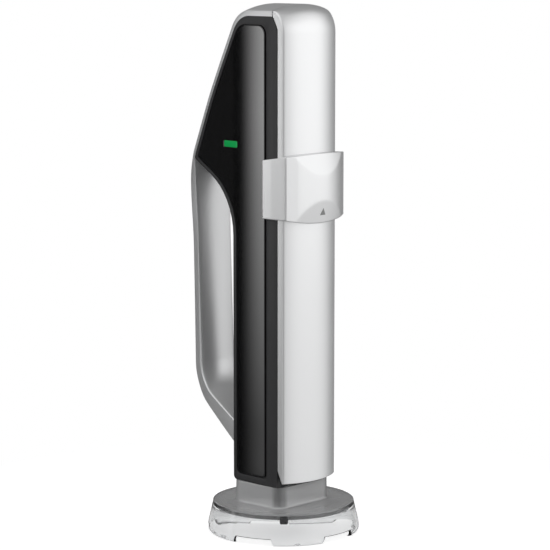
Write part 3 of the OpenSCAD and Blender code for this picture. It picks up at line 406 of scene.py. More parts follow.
rim = [(39.7, 14.7), (40.15, 14.85), (40.4, 15.25), (40.4, 15.7), (40.15, 16.0), (40.1, 16.4),
       (40.3, 16.8), (40.38, 17.2), (40.2, 17.65), (39.8, 17.88), (39.2, 17.9), (37.6, 17.72),
       (36.4, 17.66)]
collar_outside = [(-1.3, 17.66), (-0.75, 17.78), (-0.35, 18.1), (-0.1, 18.65), (0, 19.4),
                  (0.06, 23), (0.12, 27), (0.16, 29.4), (0.3, 29.8), (0.7, 30), (2.5, 30)]
hole_wall = [(13.4, 30), (13.1, 29.9), (13, 29.6), (13, 28.1), (13.2, 27.8)]
collar_inside = [(3.6, 27.8), (2.5, 27.4), (2.2, 26.6), (2.2, 15.2), (2.0, 14.7)]
rows = [disc(r, z) for r, z in rim] + [collar(inset, z) for inset, z in collar_outside]
rows += [hole(r, z) for r, z in hole_wall] + [collar(inset, z) for inset, z in collar_inside]
smoke, shader, place = start("deck_plastic")
broad = place.noise(60.0)
fine = place.noise(1400.0)
past_x = place.node("VectorMath", {"operation": "ABSOLUTE"}, {0: place}).part(0)
past_y = collar_middle / 1000 - place.part(1)
level = place.part(2)
# Painted shade: the collar's two front corners are darkened above the deck.
corner = past_x.held(0.0152, 0.018) * past_y.held(0.0122, 0.0148) * level.held(0.0181, 0.0188)
flat_place = place.node("VectorMath", {"operation": "MULTIPLY"}, {0: place, 1: (1, 1, 0)})
from_axis = place.node("VectorMath", {"operation": "LENGTH"}, {0: flat_place}, out=1)
# Painted shadow: the lower part of the rim's outer face is darkened nearly to black.
edge = from_axis.held(0.0398, 0.0401) * level.held(0.0172, 0.0167)
thin_smoke = (0.60, 0.603, 0.608)
corner_painted_shade = (0.27, 0.272, 0.275)
rim_painted_shadow = (0.09, 0.091, 0.093)
# thick is the smoke colour with the painted corner shade and the painted rim shadow laid in.
thick = edge.between(corner.between(thin_smoke, corner_painted_shade), rim_painted_shadow)
tone = (broad.held(0.3, 0.7) * 0.06).between(thick, (0.9, 0.9, 0.9))
give(shader, IOR=1.49, Transmission_Weight=0.45, Coat_Weight=0.8, Coat_Roughness=0.04,
     Base_Color=tone, Roughness=fine.held(0.3, 0.7, 0.2, 0.26), Normal=fine.bump(0.04, 0.00002))
settle("stand_deck_tray", *tube(rows, around=True), "stand", "stand_deck", smoke, 35)


# The snap catches: a dark nub at the front and one at the rear, moulded with the deck, that
# reach over the skirt's wall and hold the two together. Thick, so they look darker.
def soft_box(low, high, r):
    """A box with rounded edges along x, in mm, as rings."""
    half_y = (high[1] - low[1]) / 2
    half_z = (high[2] - low[2]) / 2
    mid = ((low[1] + high[1]) / 2, (low[2] + high[2]) / 2)
    outline = []
    for k, (s, t) in enumerate(((-1, -1), (1, -1), (1, 1), (-1, 1))):
        first = math.pi / 2 * (k - 2)
        for i in range(6):
            a = first + math.pi / 2 * i / 5
            outline.append((s * (half_y - r) + r * math.cos(a), t * (half_z - r) + r * math.sin(a)))
    rows = []
    for x, d in ((low[0], 0.25), (low[0] + 0.25, 0), (high[0] - 0.3, 0), (high[0] - 0.08, 0.1),
                 (high[0], 0.3)):
        rows.append([(x, mid[0] + y * (1 - d / half_y), mid[1] + z * (1 - d / half_z))
                     for y, z in outline])
    return tube(rows, ends=True)


catch_low = (38.4, -2.35, 12.7)
catch_high = (42.0, 2.35, 16.5)
catch_round = 0.9
catch_count = 2
rear_catch = 42.7
dark, shader, place = start("catch_plastic")
fine = place.noise(1400.0)
give(shader, IOR=1.49, Transmission_Weight=0.15, Roughness=fine.held(0.3, 0.7, 0.25, 0.35),
     Base_Color=fine.held(0.3, 0.7).between((0.05, 0.05, 0.052), (0.065, 0.065, 0.068)))
catch = pattern("catch", *soft_box(catch_low, catch_high, catch_round))
catches = round_about(
    "stand_catches", catch, catch_count, math.radians(rear_catch), dark, "stand")


# The back: one satin silver channel that runs over the top, down the slope, round the handle
# and back as the lower arm. Moulded and painted, with soft edges between its crown and sides.
def unit(v):
    return v / np.linalg.norm(v)


def fillet(p, q, s, r, n):
    """Points round corner q with radius r."""
    a = unit(p - q)
    b = unit(s - q)
    half = math.acos(float(np.dot(a, b))) / 2
    c = q + unit(a + b) * r / math.sin(half)
    u = q + a * r / math.tan(half) - c
    v = q + b * r / math.tan(half) - c
    first = math.atan2(u[1], u[0])
    swing = (math.atan2(v[1], v[0]) - first + math.pi) % math.tau - math.pi
    return [c + r * np.array([math.cos(first + swing * k / n), math.sin(first + swing * k / n)])
            for k in range(n + 1)]


def meet(p0, p1, d, q0, q1, e):
    """Where line p0 p1 moved left by d meets line q0 q1 moved left by e."""
    u = unit(p1 - p0)
    v = unit(q1 - q0)
    a = p0 + d * np.array([-u[1], u[0]])
    b = q0 + e * np.array([-v[1], v[0]])
    t = ((b[0] - a[0]) * v[1] - (b[1] - a[1]) * v[0]) / (u[0] * v[1] - u[1] * v[0])
    return a + t * u


def path(corners, radii, n, m):
    """An open run through rounded corners, n steps a bend and m steps a straight."""
    bends = [fillet(*corners[i - 1:i + 2], radii[i], n) for i in range(1, len(corners) - 1)]
    out = [corners[0]]
    last = corners[0]
    for bend in bends:
        out += [last + (bend[0] - last) * k / m for k in range(1, m)] + bend
        last = bend[-1]
    return out + [last + (corners[-1] - last) * k / m for k in range(1, m + 1)]


def eased(t):
    u = min(1.0, max(0.0, t))
    return u * u * (3 - 2 * u)


side_bow = 360
half_wide = 22.2
seam_y = -15.3


def half_at(y):
    """Half width of the body at a place y; its sides bow out a little."""
    return math.sqrt(side_bow ** 2 - (y - seam_y) ** 2) - (side_bow - half_wide)


def bent(a, c, b, n=5):
    """A soft bend from a to b round corner c."""
    shares = [k / n for k in range(n + 1)]
    return [(1 - t) ** 2 * a + 2 * t * (1 - t) * c + t * t * b for t in shares]


top_z = 300.6
slope_foot_z = 252.2
arch_z = 195.1
handle_foot_y = 57.4
arm_root_y = 20.35
arm_top_z = 83.0
roof_deep = 3
slope_deep = 2.2
handle_deep = 4.4
outer_corners = [np.array(p) for p in (
    (-11.4, top_z), (16.3, top_z), (41.5, slope_foot_z), (60.6, 210.8), (handle_foot_y, 80.6),
    (arm_root_y, 52.0))]
inner_corners = [outer_corners[0] - np.array([0, roof_deep])]
for k, (before, after) in enumerate(((roof_deep, slope_deep), (slope_deep, slope_deep),
                                     (slope_deep, handle_deep))):
    inner_corners.append(meet(outer_corners[k], outer_corners[k + 1], -before,
                              outer_corners[k + 1], outer_corners[k + 2], -after))
inner_corners.append(meet(outer_corners[3], outer_corners[4], -handle_deep,
                          np.array([0, arm_top_z]), np.array([1, arm_top_z]), 0))
inner_corners.append(np.array([arm_root_y, 64.2]))
outer_rail = path(outer_corners, [0, 16.5, 250, 50, 27, 0], 30, 14)
inner_rail = path(inner_corners, [0, 14.5, 248, 14, 21, 0], 30, 14)
crown_shares = (0.93, 0.84, 0.73, 0.6, 0.45, 0.3, 0.15, 0)


def crowned(low, high, crown, wide_low, wide_high, soft):
    """Half of a crowned section from its lower edge to the middle, as (x, height) points."""
    side = np.array([wide_low, low])
    corner = np.array([wide_high, high])
    edge = unit(side - corner)
    reach = min(soft, np.linalg.norm(side - corner) * 0.6)
    x_end = wide_high - soft

    def on_crown(x):
        return np.array([x, high + crown * (1 - (x / wide_high) ** 2)])

    return [side] + bent(corner + edge * reach, corner, on_crown(x_end), 6) + [
        on_crown(x_end * share) for share in crown_shares]


crown_low = 3.6
crown_more = 3.4


def rise(a):
    """How far the crown stands up: more on the handle, less again along the lower arm."""
    down_slope = eased((slope_foot_z - a[1]) / (slope_foot_z - arch_z))
    along_arm = eased((handle_foot_y - a[0]) / (handle_foot_y - arm_root_y)) if a[1] < arch_z else 0
    return crown_low + crown_more * (down_slope - 0.5 * along_arm)


slim_by = 1.4
slim_from_y = 40
slim_over_y = 12
slim_below_z = 210
slim_over_z = 40


def half_wide_at(a, b):
    """Half width of the back at b, drawn in where a is on the handle."""
    behind = eased((a[0] - slim_from_y) / slim_over_y)
    below = eased((slim_below_z - a[1]) / slim_over_z)
    return half_at(b[0]) - slim_by * behind * below


def both_sides(half, a, u):
    """A row across the body from half a section at a, with its heights along u."""
    return [(x, *(a + u * h)) for x, h in half] + [(-x, *(a + u * h)) for x, h in half[-2::-1]]


back_wall = 1.8
back_soft = 0.75
rows = []
for a, b in zip(inner_rail, outer_rail):
    deep = float(np.linalg.norm(b - a))
    u = (b - a) / deep
    foot = half_wide_at(a, a)
    outer = crowned(0.0, deep, rise(a), foot, half_wide_at(a, b), back_soft)
    inner = [np.array([x * (foot - back_wall) / foot, max(0.0, h - back_wall)]) for x, h in outer]
    mirrored = [(-x, y, z) for x, y, z in both_sides(inner, a, u)]
    rows.append(both_sides(outer, a, u) + mirrored)


def lacquer(name, colour, metal, rough, coat):
    """Silver lacquer over moulded plastic: fine flakes, a thin clear coat, uneven gloss."""
    flake = 0.3
    drift = 0.012
    material, shader, place = start(name)
    flakes = place.node("TexVoronoi", (), {"Vector": place, "Scale": 7000.0}, out=1)
    mottle = place.noise(30.0) * (1 - flake) + flakes.part(0) * flake
    low = tuple(c * (1 - drift) for c in colour)
    high = tuple(min(1, c * (1 + drift)) for c in colour)
    give(shader, Metallic=metal, Coat_Weight=coat, Coat_Roughness=0.12, Coat_IOR=1.45,
         Base_Color=mottle.held(0.3, 0.7).between(low, high),
         Roughness=mottle.held(0.2, 0.8, rough - 0.03, rough + 0.03),
         Normal=place.noise(420.0).bump(0.1, 0.00002))
    return material


silver = lacquer("back_silver", (0.82, 0.825, 0.83), metal=0.65, rough=0.36, coat=0.15)
settle("back_strap", *tube(rows, ends=True), "charger", "rear_shell", silver, 50)


# The inner half of the handle: a shallow crowned strip that closes the channel along the
# finger gap and under the arch. Same satin silver, pressed into the back with a fine joint.
arch_root = np.array([20.3, arch_z])
arch_lean = 0.53
arch_tip = meet(inner_corners[2], inner_corners[3], -0.5,
                arch_root, np.array([60.6, arch_z + arch_lean * (60.6 - arch_root[0])]), 0)
gap_edge_y = 20.75
swells_over = 12
strip_low = 0.05
strip_high = 0.9
strip_crown = 2.4
strip_soft = 0.55
strip_softer = 1.9
rows = []
run = 0.0
for a, b in zip(inner_rail, outer_rail):
    beside_gap = a[0] > gap_edge_y and a[1] < arch_tip[1] - 2
    if not beside_gap and a is not inner_rail[-1]:
        continue
    if rows:
        run += float(np.linalg.norm(a - last))
    last = a
    swollen = min(1, run / swells_over)
    full = half_wide_at(a, a)
    half = crowned(strip_low, strip_high, strip_crown * swollen, full, full - strip_low,
                   strip_soft + strip_softer * swollen)
    rows.append(both_sides(half, a, -unit(b - a)))
settle("handle_inner_strip", *tube(rows, ends=True), "charger", "handle_grip", silver, 50)


# The two black housings: glass-filled plastic with a fine spark-eroded grain, screwed together
# along the middle, with every outer edge broken and a groove round each gloss panel.
def softened(node, body, material, edge, ending="soft"):
    """A copy of a node, its triangles joined, its edges rounded by edge mm."""
    name = f"{node}_{ending}"
    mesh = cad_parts[node].data.copy()
    work = bmesh.new()
    work.from_mesh(mesh)
    bmesh.ops.remove_doubles(work, verts=work.verts, dist=1e-6)
    bmesh.ops.dissolve_degenerate(work, dist=1e-6, edges=work.edges)
    bmesh.ops.dissolve_limit(
        work, angle_limit=math.radians(0.15), verts=work.verts, edges=work.edges)
    bmesh.ops.recalc_face_normals(work, faces=work.faces)
    work.to_mesh(mesh)
    work.free()
    mesh.name = name
    mesh.materials.clear()
    mesh.materials.append(material)
    piece = put(name, mesh)
    if edge:
        modifier = piece.modifiers.new("edges", "BEVEL")
        modifier.width = edge / 1000
        modifier.segments = 3
        modifier.limit_method = "ANGLE"
        modifier.angle_limit = math.radians(35)
        modifier.use_clamp_overlap = True
        applied(piece)
    return finish(piece, body, node, 28)


black, shader, place = start("housing_black")
grain = place.noise(2400.0, 4.0, 0.6)
mottle = (grain * 0.6 + place.noise(45.0) * 0.4).held(0.3, 0.7)
give(shader, IOR=1.5, Base_Color=mottle.between((0.029, 0.029, 0.03), (0.041, 0.041, 0.043)),
     Roughness=grain.held(0.3, 0.7, 0.38, 0.5), Normal=grain.bump(0.35, 0.00004))
softened("housing_left", "charger", black, 0.4)
softened("housing_right", "charger", black, 0.4)


# The gloss panels: thin inlays bent to the side walls, piano black with a polished edge, each
# pressed into its groove. The left one is cut for the indicator window.
def loop(corners, radii, n=12):
    """A closed outline round rounded corners, in (y, z)."""
    out = []
    for i, corner in enumerate(corners):
        out += fillet(corners[i - 1], corner, corners[(i + 1) % len(corners)], radii[i], n)
    return out


def inwards(corners, ds):
    """A clockwise outline's corners with each edge moved in."""
    out = []
    for i, corner in enumerate(corners):
        after = corners[(i + 1) % len(corners)]
        out.append(meet(corners[i - 1], corner, -ds[i - 1], corner, after, -ds[i]))
    return out


body_foot_z = 30.0
housing_corners = [
    np.array([seam_y, body_foot_z]), np.array([seam_y, 297.6]), inner_corners[1], inner_corners[2],
    arch_tip, arch_root, np.array([arch_root[0], body_foot_z])]
panel_borders = [9.8, 5.3, 2.6, 2.6, 2.6, 3.0, 4.6]
panel_radii = [2, 5, 9, 245, 1, 40.4, 2.5]
polished_edge = ((0.0, -0.35), (0.04, -0.2), (0.12, -0.08), (0.24, -0.015), (0.4, 0.0), (0.65, 0.0))
hole_edge = ((-0.6, 0.0), (-0.25, 0.0), (-0.07, -0.05), (0.0, -0.2))
panel_thick = 1.4
lens_thick = 2.9
strip_wide = 1.5
sunk = 0.05


def inlay(name, side, outline, thick, node, material, hole_outline=None):
    """A thin plate bent to a side wall from outlines by inset, with rounded edges."""
    work = bmesh.new()

    def ring(points, depth):
        return [work.verts.new((depth, float(p[0]), float(p[1]))) for p in points]

    def joined(rings):
        for first, second in zip(rings, rings[1:]):
            for k in range(len(first)):
                m = (k + 1) % len(first)
                work.faces.new((first[k], first[m], second[m], second[k]))
        return rings

    rings = joined([ring(outline(inset), depth)
                    for inset, depth in ((0.0, -thick),) + polished_edge])
    face_loops = [rings[-1]]
    back_loops = [rings[0]]
    if hole_outline:
        edges = joined([ring(hole_outline(inset), depth)
                        for inset, depth in hole_edge + ((0.0, -thick),)])
        face_loops.append(edges[0])
        back_loops.append(edges[-1])
    for loops in (face_loops, back_loops):
        borders = []
        for verts in loops:
            for k, vert in enumerate(verts):
                pair = (vert, verts[(k + 1) % len(verts)])
                borders.append(work.edges.get(pair) or work.edges.new(pair))
        bmesh.ops.triangle_fill(work, use_beauty=False, use_dissolve=False, edges=borders)
    y = math.ceil(min(v.co.y for v in work.verts) / strip_wide) * strip_wide
    high = max(v.co.y for v in work.verts)
    while y < high:
        bmesh.ops.bisect_plane(work, geom=work.verts[:] + work.edges[:] + work.faces[:],
                               plane_co=(0, y, 0), plane_no=(0, 1, 0), dist=1e-4)
        y += strip_wide
    points = [(side * (half_at(v.co.y) - sunk + v.co.x), v.co.y, v.co.z) for v in work.verts]
    work.verts.index_update()
    faces = [tuple(v.index for v in face.verts) for face in work.faces]
    work.free()
    return settle(name, points, faces, "charger", node, material, 30)


def panel_outline(inset):
    return loop(inwards(housing_corners, [border + inset for border in panel_borders]), panel_radii)


window_middle = (22.6, 224.5)
window_half = (5.7, 1.85)
window_corner = 0.8
window_gap = 0.05


def window_outline(inset):
    corners = [np.array([window_middle[0] + s * (window_half[0] - inset),
                         window_middle[1] + t * (window_half[1] - inset)])
               for s, t in ((-1, -1), (-1, 1), (1, 1), (1, -1))]
    return loop(corners, [window_corner - min(0.5, inset)] * 4, 6)


def window_hole(inset):
    return window_outline(inset - window_gap)


gloss, shader, place = start("panel_black")
haze = place.noise(700.0, 3.0)
give(shader, IOR=1.7, Coat_Weight=0.6, Coat_Roughness=0.03,
     Base_Color=haze.held(0.3, 0.7).between((0.004, 0.004, 0.0045), (0.008, 0.008, 0.0085)),
     Roughness=haze.held(0.3, 0.7, 0.07, 0.1), Normal=place.noise(26.0).bump(0.03, 0.0001))
inlay("panel_left_gloss", -1, panel_outline, panel_thick, "panel_left", gloss, window_hole)
inlay("panel_right_gloss", 1, panel_outline, panel_thick, "panel_right", gloss)


# The indicator window: a tinted clear lens, flush in the left panel, green from the flag and
# the printed backing behind it.
green, shader, place = start("window_green")
broad = place.noise(300.0)
upper = place.part(2).held(0.2226, 0.2264)
give(shader, IOR=1.5, Coat_Weight=0.5, Coat_Roughness=0.03,
     Base_Color=(upper * 0.7 + broad * 0.3).between((0.003, 0.4, 0.085), (0.005, 0.5, 0.11)),
     Roughness=broad.held(0.3, 0.7, 0.12, 0.2), Normal=broad.bump(0.05, 0.00002))
inlay("indicator_lens", -1, window_outline, lens_thick, "indicator_window", green)


# The cover: one pearl silver moulding, 2 mm thick, whose rounded front rolls over into the top,
# with a soft crease at each side and a slot for the clasp's runner. Its lacquer is paler and
# more metallic than the back's.
front_middle = 13.574
front_radius = 40
crown_radius = 70.25
crease_y = -19.7
roll_y = -3.5
roll_z = 288
lid_back = -12.0
cover_top = 304.2
roll_soft = 7.0
arc_steps = 60
cover_foot = 33
heel_z = 40.2
rear_low = -19.0
rear_high = -15.7


def front_y(x, radius=front_radius):
    """Where the rounded front, or a face a little outside it, lies at x."""
    return front_middle - math.sqrt(radius ** 2 - x * x)


def column(x):
    """The front's profile at x from the roll's start to the rear end, softly joined."""
    radius = roll_y - front_y(x)
    top = cover_top - (crown_radius - math.sqrt(crown_radius ** 2 - x * x))
    stop = math.asin(min(1, (top - roll_z) / radius))
    arc = [np.array([roll_y - radius * math.cos(t), roll_z + radius * math.sin(t)])
           for t in np.linspace(0, stop, arc_steps)]
    length = radius * stop
    cut_back = min(roll_soft, 0.45 * length)
    reach = min(roll_soft, 0.92 * (lid_back - arc[-1][0]))
    kept = [p for k, p in enumerate(arc) if length * k / (arc_steps - 1) <= length - cut_back]
    before = kept[-1]
    tangent = unit(np.array([before[1] - roll_z, roll_y - before[0]]))
    after = np.array([arc[-1][0] + reach, top])
    corner = np.array([before[0] + tangent[0] * (top - before[1]) / tangent[1], top])
    corner[0] = min(corner[0], after[0] - 0.05)
    line = np.array(kept + bent(before, corner, after, 14)[1:] + [np.array([lid_back, top])])
    run = np.cumsum([0] + [float(np.linalg.norm(q - p)) for p, q in zip(line, line[1:])])
    return line, run / run[-1]


def along(line, shares, f):
    """The point of a line where the share f of its length is past."""
    return np.interp(f, shares, line[:, 0]), np.interp(f, shares, line[:, 1])


def rear_y(z):
    """The cover's rear edge below the lid."""
    sloped = rear_low + (rear_high - rear_low) * (z - cover_foot) / (heel_z - cover_foot)
    return sloped if z < heel_z else rear_high


crease_soft = 0.8


def cover_row(rear, z, front):
    """A row from the left rear edge round the front to the right one, with soft creases."""
    side = np.array([-half_at(rear), rear, z])
    crease = front[0]
    reach = min(crease_soft, 0.42 * np.linalg.norm(crease - side))
    before = crease + unit(side - crease) * reach
    half = [side + (before - side) * share for share in (0, 0.12, 0.4, 0.7)]
    half += bent(before, crease, front[1], 6)
    return half + front[2:-2] + [p * np.array([-1, 1, 1]) for p in half[::-1]]


across_front = [-22.2, -21.35] + list(np.linspace(-20.6, 20.6, 57)) + [21.35, 22.2]
heights = [cover_foot, 33.5, 35, 37.5, heel_z, 40.6, 44] + list(np.linspace(50, 280, 24)) + [
    284, 286.5, roll_z]
rows = []
for z in heights:
    front = [np.array([x, front_y(x), z]) for x in across_front]
    front[0] = np.array([-half_at(crease_y), crease_y, z])
    rows.append(cover_row(rear_y(z), z, front))
columns = [column(x) for x in across_front]
lid_rear = np.array([(rear_high, roll_z), (rear_high, 290.5), (lid_back, 298.0)])
lid_run = np.cumsum([0] + [float(np.linalg.norm(q - p)) for p, q in zip(lid_rear, lid_rear[1:])])
for share in np.linspace(0, 1, 46)[1:]:
    front = [np.array([x, *along(*profile, share)]) for x, profile in zip(across_front, columns)]
    front[0][0] = -half_at(front[0][1])
    rows.append(cover_row(*along(lid_rear, lid_run / lid_run[-1], share), front))
count = len(rows[0])
faces = [(i * count + k, i * count + k + 1, (i + 1) * count + k + 1, (i + 1) * count + k)
         for i in range(len(rows) - 1) for k in range(count - 1)]
pearl = lacquer("cover_pearl", (0.89, 0.895, 0.90), metal=0.8, rough=0.36, coat=0.2)
mesh = new_mesh("cover_pearl_shell", [p for row in rows for p in row], faces, turn_out=False)
mesh.materials.append(pearl)
cover = put("cover_pearl_shell", mesh)
cover_wall = 1.9
cover_edge = 0.3
modifier = cover.modifiers.new("wall", "SOLIDIFY")
modifier.thickness = cover_wall / 1000
modifier.use_even_offset = True
modifier.offset = -1
modifier = cover.modifiers.new("edges", "BEVEL")
modifier.width = cover_edge / 1000
modifier.segments = 2
modifier.limit_method = "ANGLE"
modifier.angle_limit = math.radians(60)
applied(cover)
slot_half = 3.45
slot_foot = 194.2
slot_top = 217.8
slot_box = [(x, y, z) for x in (-slot_half, slot_half) for y in (-30, -20)
            for z in (slot_foot, slot_top)]
slot_faces = [(0, 1, 3, 2), (4, 6, 7, 5), (0, 4, 5, 1), (2, 3, 7, 6), (0, 2, 6, 4), (1, 5, 7, 3)]
cutter = put("slot", new_mesh("slot", slot_box, slot_faces, merge=False, turn_out=False))
modifier = cover.modifiers.new("slot", "BOOLEAN")
modifier.object = cutter
modifier.operation = "DIFFERENCE"
modifier.solver = "EXACT"
applied(cover)
bpy.data.objects.remove(cutter)
finish(cover, "cover", "cover_shell", 50)


# The clasp's band: a bright silver moulding that runs round the cover, open at the back, with
# a broken corner each side and a shallow thumb scoop above and below its middle.
band_radius = 44.65
band_half = 25.0
band_back = -6.2
band_foot = 184.3
band_top = 217.4
band_gap = 0.3
band_corners = [np.array(p) for p in (
    (band_half, band_back), (band_half, -13.2), (24.75, -23.9), (21.8, front_y(21.8, band_radius)),
    (18.0, front_y(18.0, band_radius)))]
side_run = path(band_corners, [0, 8, 1.3, 4.0, 0], 10, 8)
front_run = [np.array([x, front_y(x, band_radius)]) for x in np.linspace(17.4, -17.4, 59)]
outer_run = side_run + front_run + [p * np.array([-1, 1]) for p in side_run[::-1]]
inner_run = [np.array([half_at(y) + band_gap, y]) for y in np.linspace(band_back, -19.6, 20)]
inner_run += [np.array([x, front_y(x, front_radius + band_gap)]) for x in np.linspace(22.3, 0, 60)]
inner_run += [p * np.array([-1, 1]) for p in inner_run[-2::-1]]


def nearest(line, p):
    """The closest point of a run of points."""
    best = line[0]
    far = math.inf
    for a, b in zip(line, line[1:]):
        t = min(1, max(0, float(np.dot(p - a, b - a) / max(1e-9, np.dot(b - a, b - a)))))
        q = a + (b - a) * t
        d = float(np.linalg.norm(p - q))
        if d < far:
            best = q
            far = d
    return best


def soft_max(a, b, soft=0.1):
    """The larger of two values, with the step from one to the other made soft."""
    return 0.5 * (a + b + math.sqrt((a - b) ** 2 + soft * soft)) - 0.5 * soft


scoop_y = -31.076
scoop_bow = 143.8
scoop_steep = 6
upper_scoop_z = 209
lower_scoop_z = 194.2


def scooped(x, y, z):
    """How far the face lies at x and z once both scoops are taken out."""
    flat = scoop_y + x * x / scoop_bow
    upper = flat + (z - upper_scoop_z) / scoop_steep
    lower = flat + (lower_scoop_z - z) / scoop_steep
    return soft_max(soft_max(y, upper), lower)


band_thick = 2.6
band_high = 33
band_edge = 0.5
band_drop = 2.7
drop_from = -23.7
drop_over = 7.376
top_lean = 0.15
scoops_from = -20


def band_section(p, inset=0.0):
    """The band's closed section at a point of its outer run, drawn in towards its middle."""
    q = nearest(inner_run, p)
    low = band_foot - max(0.0, band_drop * (drop_from - p[1]) / drop_over)
    high = band_top + top_lean * (band_back - p[1])
    levels = [low] + list(np.linspace(low + band_edge, high - band_edge, 72)) + [high]
    face = [np.array([p[0], scooped(p[0], p[1], z) if p[1] < scoops_from else p[1], z])
            for z in levels]
    inward = unit(np.array([q[0] - p[0], q[1] - p[1], 0])) * band_edge
    ring = [np.array([*q, low])] + bent(face[0] + inward, face[0], face[1], 4) + face[2:-2]
    ring += bent(face[-2], face[-1], face[-1] + inward, 4) + [np.array([*q, high])]
    middle = np.array([(p[0] + q[0]) / 2, p[1], (low + high) / 2])
    drawn_in = np.array([1 - 2 * inset / band_thick, 1, 1 - 2 * inset / band_high])
    return [middle + (r - middle) * drawn_in for r in ring]


band_ends = [(np.array([band_half, y]), inset) for y, inset in (
    (band_back, 0.45), (-6.3, 0.16), (-6.6, 0.0))]
rows = [band_section(p, inset) for p, inset in band_ends]
rows += [band_section(p) for p in outer_run[1:-1]]
rows += [band_section(p * np.array([-1, 1]), inset) for p, inset in band_ends[::-1]]
band_silver = lacquer("clasp_silver", (0.84, 0.845, 0.85), metal=0.75, rough=0.3, coat=0.25)
settle("clasp_silver_band", *tube(rows, ends=True), "clasp", "clasp_band", band_silver, 32)


# The arrow on the band: a small triangle pad-printed in grey inside the lower scoop, a thin
# film of ink that follows the face.
arrow_half = 2.3
arrow_foot = 186.2
arrow_tip = 190.2
arrow_middle = 187.5
arrow_steps = 8
ink_bottom = 0.02
ink_top = 0.05
arrow_corners = [(-arrow_half, arrow_foot), (arrow_half, arrow_foot), (0.0, arrow_tip)]


def on_face(x, z, off):
    """A point off mm outside the band's scooped face."""
    return (x, scooped(x, front_y(x, band_radius), z) - off, z)


arrow_edge = []
for (xa, za), (xb, zb) in zip(arrow_corners, arrow_corners[1:] + arrow_corners[:1]):
    for step in range(arrow_steps):
        share = step / arrow_steps
        arrow_edge.append((xa + (xb - xa) * share, za + (zb - za) * share))
rows = [[on_face(x, z, off) for x, z in arrow_edge] for off in (ink_bottom, ink_top)]
rows += [[on_face(x * s, arrow_middle + (z - arrow_middle) * s, ink_top) for x, z in arrow_edge]
         for s in (0.75, 0.5, 0.25, 0.02)]
ink, shader, place = start("arrow_ink")
fine = place.noise(3000.0)
give(shader, Metallic=0.1, Roughness=fine.held(0.3, 0.7, 0.4, 0.5),
     Base_Color=fine.held(0.3, 0.7).between((0.26, 0.265, 0.26), (0.31, 0.315, 0.31)))
arrow = settle("band_arrow_print", *tube(rows, ends=True), "clasp", None, ink, 30)


# The liner and the clasp's runner: black glass-filled plastic with a fine grain. The liner
# clips inside the cover and shows as a dark lip along the seam.
def grained(name, low, high, rough, spread=0.05, raised=0.3, metal=0.0, scale=2400.0, drawn=None):
    """A moulded, cast or turned skin; drawn pulls its grain out along one direction."""
    material, shader, place = start(name)
    if drawn:
        place = place.node("Mapping", (), {"Vector": place, "Scale": drawn})
    grain = place.noise(scale, 4.0, 0.6)
    broad = place.noise(50.0)
    give(shader, Metallic=metal, IOR=1.5,
         Base_Color=(grain * 0.6 + broad * 0.4).held(0.3, 0.7).between(low, high),
         Roughness=(grain * 0.7 + broad * 0.3).held(0.3, 0.7, rough - spread, rough + spread),
         Normal=grain.bump(raised, 0.00003))
    return material


matt = grained("liner_black", (0.014, 0.014, 0.015), (0.024, 0.024, 0.025), 0.5)
softened("cover_liner", "cover", matt, 0.2)
softened("clasp_runner", "clasp", matt, 0.15)


# The front frame and the plate under the body: the same black plastic, a little coarser, with
# the trough that holds the capsule and the ears of the hinge.
frame_black = grained("frame_black", (0.022, 0.022, 0.024), (0.034, 0.034, 0.036), 0.55, raised=0.4)
softened("bay_frame", "charger", frame_black, 0.3)
softened("base_plate", "charger", frame_black, 0.3)


# The gas capsule: deep-drawn steel, zinc plated, with a crimped neck that the needle pierces.
# The yoke presses it down onto the needle.
plated = grained("capsule_zinc", (0.56, 0.57, 0.58), (0.66, 0.67, 0.68), 0.26, spread=0.08,
                 raised=0.12, metal=1.0, scale=900.0, drawn=(1.0, 1.0, 0.15))
softened("gas_capsule", "charger", plated, 0)


# The regulator: body and cap turned from aluminium and clear anodised, a white acetal piston
# on a steel spring, a ground needle and a rubber seal.
turned = grained("turned_aluminium", (0.60, 0.605, 0.61), (0.72, 0.725, 0.73), 0.3, spread=0.08,
                 raised=0.2, metal=1.0, scale=500.0, drawn=(0.2, 0.2, 6.0))
softened("regulator_body", "charger", turned, 0.3)
softened("regulator_cap", "charger", turned, 0.25)
acetal = grained("piston_acetal", (0.72, 0.72, 0.70), (0.78, 0.78, 0.76), 0.42, raised=0.15)
softened("regulator_piston", "charger", acetal, 0.2)
wire = grained("spring_wire", (0.42, 0.42, 0.43), (0.55, 0.55, 0.56), 0.32, raised=0.15, metal=1.0)
softened("regulator_spring", "charger", wire, 0, "round")
ground = grained("ground_steel", (0.58, 0.585, 0.59), (0.68, 0.685, 0.69), 0.2, raised=0.08,
                 metal=1.0, scale=1500.0)
softened("piercing_needle", "charger", ground, 0.05)
rubber = grained("seal_rubber", (0.012, 0.012, 0.012), (0.02, 0.02, 0.02), 0.65, raised=0.35)
softened("capsule_seal", "charger", rubber, 0.2)


# The gas line: a bent stainless tube from the regulator into a brass valve block, with the
# relief valve screwed into the block's side.
softened("gas_tube", "charger", ground, 0, "round")
brass = grained("block_brass", (0.56, 0.42, 0.18), (0.68, 0.52, 0.25), 0.3, spread=0.07,
                raised=0.15, metal=1.0, scale=1200.0)
softened("valve_block", "charger", brass, 0.35)
softened("relief_valve", "charger", brass, 0.15)


# The chassis and the stopper socket: a zinc casting with machined bores that guides the rods,
# and a turned aluminium cup that takes the bottle's stopper.
cast = grained("chassis_zinc", (0.38, 0.385, 0.39), (0.47, 0.475, 0.48), 0.48, raised=0.35,
               metal=0.9, scale=1100.0)
softened("chassis", "charger", cast, 0.3)
softened("stopper_socket", "charger", turned, 0.25)


# The release plunger: a ground steel disc on a stem, held by a clip, with a coil spring round
# the stem.
softened("release_plunger", "plunger", ground, 0.2)
softened("plunger_clip", "plunger", wire, 0.1)


def shortened(spring):
    """Gives a coil spring a mesh of its own."""
    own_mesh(spring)


shortened(softened("plunger_spring", "charger", wire, 0, "round"))


